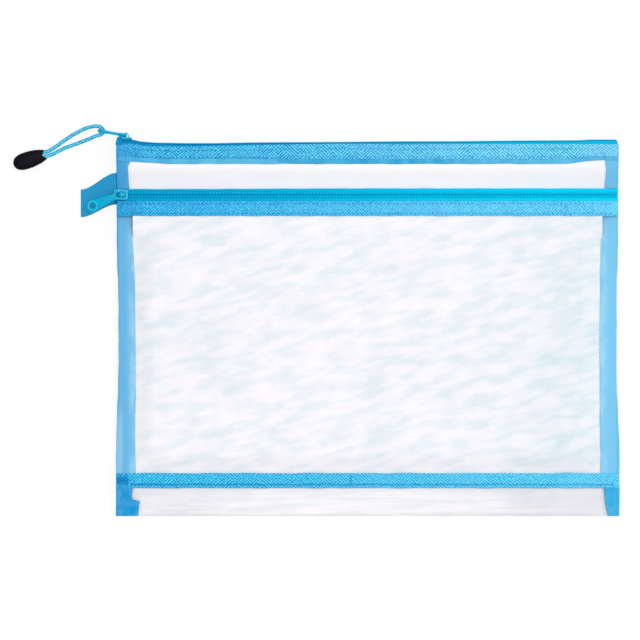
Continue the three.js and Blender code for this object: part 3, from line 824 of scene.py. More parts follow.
def hoop(
    name: str, centre: Sequence[float], radius: float, wire: float, material: Material,
    place: Matrix,
) -> Thing:
    """Closed round ring: a circle of one radius carried round a circle of another.

    Args:
        name: of the object. centre: in its own frame in mm. radius, wire: in mm. material: finish.
        place: from its own frame to the bag's.

    Returns:
        The object.
    """
    rings, sides = 40, 10
    turn, around = full_turn(rings)[:, None], full_turn(sides)[None, :]
    wide = radius + wire * np.cos(around)
    points = grid(wide * np.cos(turn), wide * np.sin(turn), wire * np.sin(around)) + np.array(centre)
    faces = grid_faces(rings + 1, sides, True) % (rings * sides)
    return piece(name, moved(points.reshape(-1, 3), place), faces.tolist(), material)


def arc(centre: Sequence[float], radius: float, start: float, end: float, count: int) -> Array:
    """Points of an arc in the plane, from one angle in radians to another."""
    turn = np.linspace(start, end, count)
    return np.stack([centre[0] + radius * np.cos(turn), centre[1] + radius * np.sin(turn)], -1)


def bend(
    first: Sequence[float], handle: Sequence[float], last: Sequence[float], count: int = 12,
) -> Array:
    """Points of a quadratic curve from first to last, drawn toward the handle."""
    t = column(0, 1, count)
    a, b, c = (np.array(p, float) for p in (first, handle, last))
    return (1 - t) ** 2 * a + 2 * t * (1 - t) * b + t ** 2 * c


def spaced(path: Array, count: int) -> Array:
    """Points at even distances along a path that passes smoothly through the given points."""
    before = np.vstack([2 * path[0] - path[1], path, 2 * path[-1] - path[-2]])
    t = np.linspace(0, 1, 12, endpoint=False)[None, :, None]
    p0, p1, p2, p3 = (before[i: i + len(path) - 1][:, None] for i in range(4))
    fine = 0.5 * (2 * p1 + (p2 - p0) * t + (2 * p0 - 5 * p1 + 4 * p2 - p3) * t ** 2
                  + (3 * p1 - p0 - 3 * p2 + p3) * t ** 3)
    fine = np.vstack([fine.reshape(-1, path.shape[1]), path[-1:]])
    run = run_along(fine)
    even = np.linspace(0, run[-1], count)
    return np.stack([np.interp(even, run, fine[:, axis]) for axis in range(path.shape[1])], -1)


def reach(node: str) -> tuple[Array, Array]:
    """Returns: the lowest and highest corners of a CAD node, in mm."""
    low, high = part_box(node)
    return np.array(low) / MM, np.array(high) / MM


def stand_for(made: Thing, slot: str, *nodes: str, body: str = "bag") -> Thing:
    """Makes a piece ride on a body and, where nodes are named, take their place."""
    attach(made, body)
    if nodes:
        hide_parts(*nodes)
    LOG.info("%s: %d faces, rides on %s", made.name, len(made.data.polygons), body)
    return made


@dataclass
class Studio:
    """Camera straight above the bag, a white floor and soft light that is stronger from the right."""

    centre: tuple[float, float] = (-0.0322, 0.00577)
    distance: float = 2.413
    aim_height: float = 0.005
    lens: float = 200.0
    world_level: float = 0.775
    sun_level: float = 1.12
    side_power: float = 1.6
    floor_half: float = 3.0
    floor_z: float = -0.0003
    floor_tone: float = 0.88
    floor_share: float = 0.88

    def build(self) -> None:
        """Makes the camera, the floor, the world and the lamps."""
        data = bpy.data.cameras.new("camera")
        data.lens = self.lens
        data.sensor_width = 36
        data.clip_end = 50
        camera = self.put("camera", data, (*self.centre, self.aim_height + self.distance))
        bpy.context.scene.camera = camera
        self.floor()
        self.world()
        sun = {"energy": self.sun_level, "angle": math.radians(40)}
        self.lamp("sky_lamp", "SUN", (0.2, 0.1, 2.0), (-10, 13, 0), **sun)
        self.lamp("right_lamp", "AREA", (0.75, 0.1, 0.9), (0, 42, 0), energy=self.side_power, size=0.9)
        bpy.context.scene.view_settings.view_transform = "Standard"

    def put(self, name: str, data: bpy.types.ID, place: Sequence[float] = (0, 0, 0)) -> Thing:
        """Returns: a new object in the scene that shows the data at a place."""
        made = bpy.data.objects.new(name, data)
        made.location = place
        bpy.context.scene.collection.objects.link(made)
        return made

    def lamp(
        self, name: str, kind: str, place: Sequence[float], turn: Sequence[float], **facts: float,
    ) -> None:
        """Makes a lamp of this kind at a place, turned by degrees, with its facts set."""
        data = bpy.data.lights.new(name, kind)
        for key, value in facts.items():
            setattr(data, key, value)
        self.put(name, data, place).rotation_euler = [math.radians(a) for a in turn]

    def floor(self) -> None:
        """Pale floor just under the bag, nearly plain white to the camera but keeping its shadow."""
        shader = Shader("floor_white", 0.9, Specular_IOR_Level=0.0)
        shader.surface.inputs["Base Color"].default_value = (*[self.floor_tone] * 3, 1)
        white = shader.node("ShaderNodeEmission", {}, {"Color": (1, 1, 1, 1), "Strength": 1.0})
        base = Term(shader, shader.surface.outputs[0])
        share = shader.seen() * self.floor_share
        mixed = shader.node("ShaderNodeMixShader", {}, {0: share, 1: base, 2: white})
        shader.tree.links.new(mixed.socket, shader.tree.nodes["Material Output"].inputs["Surface"])
        mesh = bpy.data.meshes.new("floor")
        half, low = self.floor_half, self.floor_z
        corners = [(-half, -half, low), (half, -half, low), (half, half, low), (-half, half, low)]
        mesh.from_pydata(corners, [], [(0, 1, 2, 3)])
        mesh.materials.append(shader.material)
        self.put("floor", mesh)

    def world(self) -> None:
        """Pale even sky, plain white where the camera or a reflection sees it."""
        world = bpy.data.worlds.new("sky")
        bpy.context.scene.world = world
        world.use_nodes = True
        nodes = Nodes(world.node_tree)
        sky = nodes.tree.nodes["Background"]
        sky.inputs["Color"].default_value = (1, 1, 1, 1)
        level = nodes.seen() * (1 - self.world_level) + self.world_level
        nodes.tree.links.new(level.socket, sky.inputs["Strength"])


@dataclass
class PullCord:
    """Braided cord looped through the end hole of the top pull, closed by a moulded drop."""

    finishes: Finishes
    diameter: float = 2.6
    tuck: float = 3.0
    end_length: float = 23.0
    end_width: float = 11.5
    end_thickness: float = 5.5
    roundness: float = 0.85
    notch_depth: float = 2.6
    mouth: tuple[float, float, float] = (-218.5, 118.3, 2.75)
    toward_tip: tuple[float, float] = (-0.951, -0.309)
    bend: tuple[tuple[float, float, float], ...] = ((-178.5, 133.6, 6.15), (-187.0, 133.6, 6.15))
    route: Sequence[tuple[float, float, float]] = (
        (-218.7, 119.8, 2.75), (-216.2, 120.7, 2.7), (-211.4, 123.8, 1.9), (-205, 128.4, 1.45),
        (-198.3, 132.6, 1.8), (-191.8, 135.7, 3.3), (-186.5, 137.1, 4.9), (-182.6, 137.1, 5.8),
        (-180.3, 136.1, 6.1), (-179.4, 134.9, 6.15), (-179.2, 133.6, 6.15), (-179.9, 132.3, 6.15),
        (-181.2, 131.4, 6.1), (-183.6, 130.9, 5.7), (-189.7, 128.4, 4), (-196.5, 125.9, 2.1),
        (-205.3, 122.7, 1.45), (-211.5, 119.6, 2), (-215.3, 117.8, 2.7), (-217.75, 117, 2.75),
    )
    profile: Pairs = (
        (0, 0.53), (0.02, 0.58), (0.06, 0.65), (0.12, 0.74), (0.2, 0.83), (0.28, 0.9), (0.4, 0.97),
        (0.5, 1.0), (0.65, 1.0), (0.74, 0.965), (0.82, 0.89), (0.89, 0.76), (0.94, 0.6), (0.975, 0.4),
        (0.994, 0.2), (1.0, 0.03),
    )

    def build(self) -> None:
        deeper = np.array([*self.toward_tip, 0.0]) * self.tuck
        route = np.array(self.route, float)
        path = spaced(np.vstack([route[:1] + deeper, route, route[-1:] + deeper]), 330)
        cord = tube("cord_braid", path, self.diameter / 2, 20, UP, self.finishes.braid)
        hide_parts("pull_cord")
        end = stand_for(self.end(), "cord_end_black", "cord_end", body="cord")
        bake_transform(cord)

    def end(self) -> Thing:
        """Drop: rings of a rounded section whose half width follows the drop's profile.

        The section takes the sine and cosine to the power of roundness. The mouth is cut back toward
        the middle in a V, and two smaller rings inside it close the drop.

        Returns:
            The object.
        """
        mouth_rings, body_rings = np.linspace(0, 0.1, 8, endpoint=False), np.linspace(1, 0, 80)
        share = np.concatenate([mouth_rings, 1 - 0.9 * body_rings ** 1.5])[:, None]
        fine = spaced(np.array(self.profile), 200)
        half = np.interp(share, fine[:, 0], fine[:, 1]) * self.end_width / 2
        turn = full_turn(48)
        wide, tall = (
            np.sign(wave) * np.abs(wave) ** self.roundness for wave in (np.cos(turn), np.sin(turn))
        )
        notch = self.notch_depth * (1 - np.abs(wide)) * np.clip(1 - share / 0.22, 0, 1) ** 1.5
        depth, width, height = np.array(((4.5, 0.3, 0.3), (self.notch_depth, 0.42, 0.45))).T[:, :, None]
        along = np.vstack([depth + 0 * turn, share * self.end_length + notch])
        across = np.vstack([width * self.end_width / 2 * wide, half * wide])
        lift = np.vstack([
            height * self.end_thickness / 2 * tall, half * tall * self.end_thickness / self.end_width,
        ])
        tip = np.array(self.toward_tip)
        sideways = np.array([-tip[1], tip[0]])
        plan = along[..., None] * tip + across[..., None] * sideways + np.array(self.mouth[:2])
        points = np.concatenate([plan, (lift + self.mouth[2])[..., None]], -1)
        rows, columns = points.shape[:2]
        faces = grid_faces(rows, columns, True).tolist()
        faces += [list(range(columns)), list(range((rows - 1) * columns, rows * columns))]
        return piece("cord_end_drop", points.reshape(-1, 3), faces, self.finishes.black)


@dataclass
class Net:
    """The three net panels, sewn together round the rim of the bag."""

    finishes: Finishes
    thickness: float = 0.3
    flat_x: float = 144.0
    seam_x: float = 161.0
    rim_z: float = 5.85
    tie_z: float = 9.25
    pocket_z: float = 10.45
    side_lift: float = 4.0
    top_z: float = 0.65
    seam_y: float = -99.1

    def build(self) -> None:
        """Makes the panels."""
        pocket = stand_for(self.pocket(), "mesh", "pocket_panel")
        middle = stand_for(self.middle(), "mesh", "middle_panel")
        back = stand_for(self.back(), "mesh", "back_panel")

    def pocket(self) -> Thing:
        """Front panel: a low pillow whose height eases down to the seams, with soft ripples.

        Returns:
            The object.
        """
        low, high = reach("pocket_panel")
        y = row(low[1], high[1], 190)
        edge = knots(y, ((-200, high[0]), (54, high[0]), (61, 159.2), (200, 159.2)))
        x = column(-1, 1, 300) * edge
        rim = self.rim_z + (self.tie_z - self.rim_z) * step(y, 60, 68)
        crown = self.rim_z + (self.pocket_z - self.rim_z) * step(y, -98.1, -84.1)
        crown = crown - (self.pocket_z - self.tie_z) * step(y, 62.2, 76.2)
        side = 1 - step(np.abs(x), self.flat_x, self.seam_x)
        waves = ripple(
            x, y, ((24, 70, 0.3), (33, 112, 1.9), (52, 86, 4.1), (17, 62, 2.7), (70, 20, 1.0)),
        )
        free = side * step(y, -98, -86) * (1 - step(y, 66, 78))
        z = rim + (crown - rim) * side + 0.42 * waves * free
        return ribbon("net_pocket", grid(x, y, z), self.thickness, self.finishes.pocket, False)

    def middle(self) -> Thing:
        """Panel behind the pocket, rising to the top seam, nearly flat.

        Returns:
            The object.
        """
        low, high = reach("middle_panel")
        y = row(low[1], high[1], 190)
        x = column(low[0], high[0], 240)
        rise = step(y, *RISE_Y)
        z = low[2] + self.thickness / 2 + (high[2] - low[2] - self.thickness) * rise
        above_pocket, over_net = 4 * rise * (1 - rise), 0.4 * (1 - step(y, 60, 75)) * step(y, -98, -80)
        free = (1 - step(np.abs(x), 140, 158)) * (above_pocket + over_net)
        z = z + 0.2 * ripple(x, y, ((26, 84, 0.4), (41, 97, 2.2), (15, 75, 3.0))) * free
        y = sag(x, y, FOLD_SAG, 110, 125)
        return ribbon("net_middle", grid(x, y, z), self.thickness, self.finishes.window, False)

    def lower_leg(self, y: "Array | float", away: Array) -> Array:
        """Height of the back panel's lower leg: on the table, raised at the sides and the top edge."""
        side = self.thickness / 2 + self.side_lift * away
        return side + (self.top_z - side) * step(y, *RISE_Y)

    def back(self) -> Thing:
        """Back panel: flat on the table, turned up round the bottom edge in a half circle.

        The turn's radius is half the height between its two legs, so it closes toward the sides,
        and the short upper leg carries long wrinkles.

        Returns:
            The object.
        """
        low, high = reach("back_panel")
        x = column(low[0], high[0], 260)
        away = step(np.abs(x), self.flat_x, self.seam_x)
        upper, bottom = high[2] - self.thickness / 2, self.lower_leg(low[1], away)
        radius = (upper - bottom) / 2
        turn = row(-np.pi / 2, -3 * np.pi / 2, 14)[:, 1:-1]
        centre_y = low[1] + self.thickness / 2 + radius
        flat_y = centre_y + (high[1] - centre_y) * row(1, 0, 150)
        top_y = centre_y + (self.seam_y - centre_y) * row(0, 1, 46)
        wave = ripple(x, top_y * 6, ((95, 84, 0.2), (64, 92, 2.0), (120, 79, 1.2)))
        free = step(top_y, low[1], -122) * (1 - step(top_y, -112, -106)) * (1 - away)
        edge = ripple(x, 0 * x, ((37, 0, 0.5), (61, 0, 2.2), (23, 0, 4.0)))
        uneven = radius + 0.14 * edge * (1 - away)
        middle = legs(
            x, (flat_y, self.lower_leg(flat_y, away)),
            (centre_y + uneven * np.cos(turn), (upper + bottom) / 2 + radius * np.sin(turn)),
            (top_y, upper + 0.5 * wave * free),
        )
        middle[..., 1] = sag(x, middle[..., 1], FOLD_SAG, 110, 125)
        return ribbon("net_back", middle, self.thickness, self.finishes.back, False)


@dataclass
class SideBinding:
    """Folded satin strip round one side seam, opening toward the top and flared at the bottom."""

    finishes: Finishes
    node: str
    sign: int
    inner: Pairs
    outer: Pairs
    thickness: float = 0.4
    seam_x: float = 161.2

    def build(self) -> None:
        """Makes the strip and its row of stitches."""
        strip, (places, edge, height) = self.strip()
        stand_for(strip, "binding_blue", self.node)
        y = np.arange(-124.0, 122.0, 2.6)
        x = self.sign * (np.interp(y, places, edge) + 1.6)
        z = np.interp(y, places, height) + self.thickness / 2
        sew(f"{self.node}_stitches", x, y, z, (0, 1.9, 0), 0.16, self.finishes.side_thread)

    def strip(self) -> tuple[Thing, tuple[Array, Array, Array]]:
        """Strip folded round the seam: two legs joined by rounded corners.

        Its half height grows from the seam's to the throat's by a smooth step, and the edge of
        its upper leg follows the knots of inner.

        Returns:
            The object, and the rows' Y with the inner edge and the upper leg's height there.
        """
        low, high = reach(self.node)
        y = column(low[1], high[1], 330)
        open_share = step(y, *RISE_Y)
        half = self.thickness / 2
        z_low, z_high = 3.5 + half - 3.5 * open_share, 6.5 - half + 5.8 * open_share
        wave = ripple(y, 0 * y, ((27, 0, 2.3), (14, 0, 0.7), (61, 0, 4.4)))
        inner = knots(y, self.inner) + 0.18 * wave
        outer = knots(y, self.outer) + 0.12 * ripple(y, 0 * y, ((19, 0, 0.3), (43, 0, 1.2)))
        rounding = np.minimum((z_high - z_low) / 2, 1.1)
        t = row(0, 1, 9)
        turn = row(0, np.pi / 2, 7)
        bottom_x = self.seam_x + (outer - rounding - self.seam_x) * t
        corner_x, corner_rise = outer - rounding * (1 - np.sin(turn)), rounding * (1 - np.cos(turn))
        top_x = inner + (outer - rounding - inner) * t[:, ::-1]
        bulge = 0.25 * np.sin(np.pi * t) * (1 - open_share)
        x = np.concatenate([bottom_x[:, :-1], corner_x, corner_x[:, ::-1], top_x[:, 1:]], 1)
        z = np.concatenate([
            (z_low + 0 * t)[:, :-1], z_low + corner_rise, z_high - corner_rise[:, ::-1],
            (z_high + bulge)[:, 1:],
        ], 1)
        satin = self.finishes.satin_left if self.sign < 0 else self.finishes.satin_right
        made = ribbon(f"{self.node}_satin", grid(self.sign * x, y, z), self.thickness, satin)
        return made, (y[:, 0], inner[:, 0], z_high[:, 0])


def folded(
    x: Array, lip: Array, centre: "Array | float", inner_lip: float, outer: float, inner: float,
    outer_lift: Array, over: "Array | float" = 0.0,
) -> Array:
    """Middle surface of a strip folded over an edge: outer leg, half-round fold, inner leg.

    The fold is a half circle in Y whose radius is half the height between the legs.

    Args:
        x: rows along the strip. lip: Y of the outer leg's free edge. centre: Y of the fold's
        centre. inner_lip: Y of the inner leg's free edge. outer, inner: heights of the legs.
        outer_lift: added to the outer leg. over: added to the outer leg, and fading round the fold.

    Returns:
        The grid of points, as many across each leg as outer_lift has.
    """
    t = row(0, 1, outer_lift.shape[1])
    turn = row(0, np.pi, 9)[:, 1:-1]
    bent = (outer + inner) / 2 + (outer - inner) / 2 * np.cos(turn) + over * (0.5 + 0.5 * np.cos(turn))
    return legs(
        x, (lip + (centre - lip) * t, outer + outer_lift + over),
        (centre + abs(outer - inner) / 2 * np.sin(turn), bent),
        (centre + (inner_lip - centre) * t, inner),
    )


@dataclass
class TopEdge:
    """Two folded strips and the zip between them, turned over the top edge."""

    finishes: Finishes
    overlap: float = 8.6
    layer: float = 0.45
    coil_pitch: float = 1.05
    strip_thickness: float = 0.4
    tape_thickness: float = 0.5
    tape_turn: float = 0.8

    def build(self) -> None:
        """Makes both strips with their stitches, both tapes and both coils."""
        for side, flip in (("front", False), ("back", True)):
            binding, tape, chain = f"top_{side}_binding", f"top_zip_{side}_tape", f"top_zip_{side}_coil"
            stand_for(self.strip(binding, flip), "binding_blue", binding)
            stand_for(self.tape(tape, flip), "zip_tape", tape)
            made = coil(
                f"top_{side}_coil", *reach(chain), self.coil_pitch, 0.5 if flip else 0.0, 1,
                self.finishes.coil, CHAIN_SAG,
            )
            stand_for(made, "zip_coil", chain)
        stand_for(self.tail(), "zip_tape")
        low, high = reach("top_front_binding")
        x = np.arange(low[0] + 2, high[0] - 4, 2.9)
        for number, y in enumerate((low[1] + 4.9, high[1] - 3.6)):
            line = y + 0.12 * ripple(x, 0 * x, ((53, 0, 1.0), (31, 0, 0.2)))
            line = line - knots(x, FOLD_SAG) * (y - low[1]) / (high[1] - low[1])
            name, thread = f"top_stitches_{number}", self.finishes.thread
            sew(name, x, line, high[2] + 0.02, (2.1, 0.1, 0), 0.26, thread)

    def strip(self, node: str, flip: bool) -> Thing:
        """Strip folded over the net's edge, its inner leg a little shorter.

        Args:
            node: CAD strip that it stands for. flip: whether its outer leg is the lower one.

        Returns:
            The object.
        """
        low, high = reach(node)
        half = self.strip_thickness / 2
        outer, inner = (low[2] + half, high[2] - half) if flip else (high[2] - half, low[2] + half)
        overlap = 0 if flip else self.overlap
        x = column(low[0] - overlap, high[0] + overlap, 540)
        centre = high[1] - half - abs(outer - inner) / 2 - knots(x, FOLD_SAG)
        narrow = 1.5 * step(-x, 135, 160) + 2.6 * step(x, 130, 160)
        lip = low[1] + narrow + 0.22 * ripple(x, 0 * x, ((29, 0, 0.4), (47, 0, 2.0), (17, 0, 4.2)))
        t = row(0, 1, 16)
        sway = 0.1 * ripple(x, lip + (centre - lip) * t, ((21, 25, 0.1), (13, 70, 1.7)))
        lift = 0 * sway if flip else np.abs(sway) + 0.12 * np.sin(np.pi * t)
        over = 0.0 if flip else self.layer * step(np.abs(x), high[0] - 0.9, high[0] + 0.3)
        middle = folded(x, lip, centre, low[1] + 0.1, outer, inner, lift, over)
        return ribbon(f"{node}_twill", middle, self.strip_thickness, self.finishes.top_twill)

    def tail(self) -> Thing:
        """Cut ends of the tapes, standing out past the left corner; returns the object."""
        t, across = column(0, 1, 14), row(0, 1, 10)
        x = -166.2 - 4.4 * across + 1.2 * t * across
        y = 124.4 + 6.6 * t - 1.6 * across * t
        z = 12.75 - 1.6 * t ** 2 + 0.25 * np.sin(3 * np.pi * across) * t
        return ribbon("top_tape_tail", grid(x, y, z), self.tape_thickness, self.finishes.top_tape)

    def tape(self, node: str, flip: bool) -> Thing:
        """Tape: flat inside the strip, then turned over the top edge toward the chain.

        Args:
            node: CAD tape that it stands for. flip: whether it is the back one.

        Returns:
            The object.
        """
        low, high = reach(node)
        half, radius = self.tape_thickness / 2, self.tape_turn
        flat, end = (low[2] + half, high[2]) if flip else (high[2] - half, low[2])
        way = 1 if flip else -1
        turn = row(0, np.pi / 2, 6)[:, 1:]
        x = column(low[0], high[0], 300)
        edge = high[1] - half - knots(x, CHAIN_SAG)
        t = row(0, 1, 7)
        corner = flat + way * radius
        middle = legs(
            x, (low[1] + (edge - radius - low[1]) * t, flat),
            (edge - radius + radius * np.sin(turn), corner - way * radius * np.cos(turn)),
            (edge, corner + (end - corner) * t[:, 1:]),
        )
        return ribbon(f"{node}_weave", middle, self.tape_thickness, self.finishes.top_tape)


def coil(
    name: str, low: Array, high: Array, pitch: float, phase: float, height_axis: int,
    material: Material, drop: Pairs = ((0, 0),),
) -> Thing:
    """Nylon coil along X: an elliptical helix that fills the box between two corners.

    Args:
        name: of the object. low, high: corners in mm. pitch: of a turn in mm. phase: share of a
        turn that it starts at. height_axis: axis that stands away from the tape. material: finish.
        drop: pairs of X and how far its Y is drawn down there.

    Returns:
        The object.
    """
    wire = 0.4
    turns = (high[0] - low[0] - 2 * wire) / pitch
    t = np.linspace(0, turns, int(turns * 11))
    angle = 2 * np.pi * (t + phase)
    path = np.empty((len(t), 3))
    path[:, 0] = low[0] + wire + t * pitch
    for axis, wave in ((3 - height_axis, np.cos(angle)), (height_axis, np.sin(angle))):
        path[:, axis] = (low[axis] + high[axis]) / 2 + ((high[axis] - low[axis]) / 2 - wire) * wave
    path[:, 1] -= knots(path[:, 0], drop)
    return tube(name, path, wire, 5, np.array((1.0, 0.0, 0.0)), material)


@dataclass
class FrontZip:
    """Zip over the pocket: two tapes, two coils and the folded strip on the pocket's edge."""

    finishes: Finishes
    seat_x: float = 160.6
    coil_pitch: float = 1.05
    mesh: float = 0.35
    tape_thickness: float = 0.5
    chain_y: float = 91.6
    fold_radius: float = 0.4
    strip_thickness: float = 0.4

    def build(self) -> None:
        """Makes the tapes, the coils with their sewing, the strip and its stitches."""
        stand_for(self.lower_tape(), "zip_tape", "front_zip_lower_tape")
        stand_for(self.upper_tape(), "zip_tape", "front_zip_upper_tape")
        for side, phase, sway in (("lower", 0.0, 1), ("upper", 0.5, -1)):
            self.half_chain(side, phase, sway)
        stand_for(self.strip(), "binding_blue", "front_zip_binding")
        low, high = reach("front_zip_binding")
        x = np.arange(low[0] + 3, high[0] - 4, 3.0)
        for number, y in enumerate((low[1] + 1.7, high[1] - 1.9)):
            line = y + 0.14 * ripple(x, 0 * x, ((49, 0, 1.4), (27, 0, 0.1)))
            name, thread = f"front_stitches_{number}", self.finishes.thread
            sew(name, x, line, high[2] + 0.03, (2.2, 0.1, 0), 0.3, thread)
        x = np.arange(low[0] + 2, high[0] - 2, 1.9)
        pale = self.finishes.pale_thread
        sew("front_strip_edge", x, low[1] + 0.75, high[2] + 0.02, (0.7, 0.5, 0), 0.3, pale)

    def half_chain(self, side: str, phase: float, sway: int) -> None:
        """Makes one coil, its sewing and its core.

        Args:
            side: lower or upper. phase: share of a turn. sway: which way the other coil lies.
        """
        low, high = reach(f"front_zip_{side}_coil")
        reached = [0, self.mesh * sway, 0]
        corners = (low, high + reached) if sway > 0 else (low + reached, high)
        made = coil(f"front_{side}_coil", *corners, self.coil_pitch, phase, 2, self.finishes.coil)
        stand_for(made, "zip_coil", f"front_zip_{side}_coil")
        centre = (low + high) / 2
        x = np.arange(low[0] + 0.6, high[0] - 1.8, 2.2)
        # The sewing is pale thread, paler to stand for the highlights on the coil's tops: partly thread,
        # partly painted highlight.
        name, pale = f"front_{side}_coil_sewing", self.finishes.pale_thread
        sew(name, x, centre[1] - sway * 0.3, high[2] - 0.2, (1.25, 0, 0), 0.34, pale, "zip_coil")
        ends = grid(np.array((low[0] + 0.6, 0, high[0] - 0.6)), centre[1], centre[2])
        core = tube(f"front_{side}_coil_core", ends, 0.62, 8, UP, self.finishes.coil, 0.8)
        stand_for(core, "zip_coil")

    def lower_tape(self) -> Thing:
        """Flat tape from the chain down under the strip; returns the object."""
        low, high = reach("front_zip_lower_tape")
        x = column(low[0], high[0], 300)
        y = row(high[1], low[1], 10)
        z = low[2] + self.tape_thickness / 2 + 0.05 * ripple(x, y, ((23, 15, 0.5), (11, 60, 2.0)))
        return ribbon("front_lower_tape_weave", grid(x, y, z), self.tape_thickness, self.finishes.tape)

    def upper_tape(self) -> Thing:
        """Tape folded under itself onto the net behind: flat leg, rounded wall, seat leg.

        Beyond the side bindings the wall and the seat shrink to nothing by a smooth step.

        Returns:
            The object.
        """
        low, high = reach("front_zip_upper_tape")
        half = self.tape_thickness / 2
        x = column(low[0], high[0], 420)
        full = 1 - step(np.abs(x), self.seat_x - 1.2, self.seat_x)
        flat, seat = high[2] - half, low[2] + half
        t = row(0, 1, 7)
        turn = row(0, np.pi / 2, 5)[:, 1:]
        radius = self.fold_radius
        lower, turned = flat - (flat - seat - radius) * full, radius * full
        drawn_in = 0.3 + 0.45 * step(-x, 0, 130)
        wall = high[1] - half - drawn_in + 0.1 * ripple(x, 0 * x, ((33, 0, 0.2), (19, 0, 1.1))) - radius
        middle = legs(
            x, (self.chain_y + (wall - self.chain_y) * t, flat),
            (wall + radius * np.sin(turn), flat - turned * (1 - np.cos(turn))),
            (wall + radius * np.cos(turn), lower - turned * np.sin(turn)),
            (wall - (wall - low[1]) * full * t[:, 1:], lower - turned),
        )
        middle[:, t.size:, 2] -= 0.02
        return ribbon("front_upper_tape_weave", middle, self.tape_thickness, self.finishes.upper_tape)

    def strip(self) -> Thing:
        """Strip folded over the pocket's edge, lying over both side bindings; returns the object."""
        low, high = reach("front_zip_binding")
        half = self.strip_thickness / 2
        x = column(low[0], high[0], 440)
        outer, inner = high[2] - half, low[2] + half
        lip = low[1] + 0.1 + 0.2 * ripple(x, 0 * x, ((31, 0, 1.4), (45, 0, 3.0), (18, 0, 0.2)))
        centre = high[1] - half - (outer - inner) / 2
        t = row(0, 1, 12)
        sway = ripple(x, lip + (centre - lip) * t, ((24, 20, 0.4), (12, 75, 1.2)))
        crown = 0.16 * np.sin(np.pi * t) + 0.09 * (1 + sway)
        middle = folded(x, lip, centre, low[1] + 0.4, outer, inner, crown)
        return ribbon("front_zip_binding_twill", middle, self.strip_thickness, self.finishes.twill)


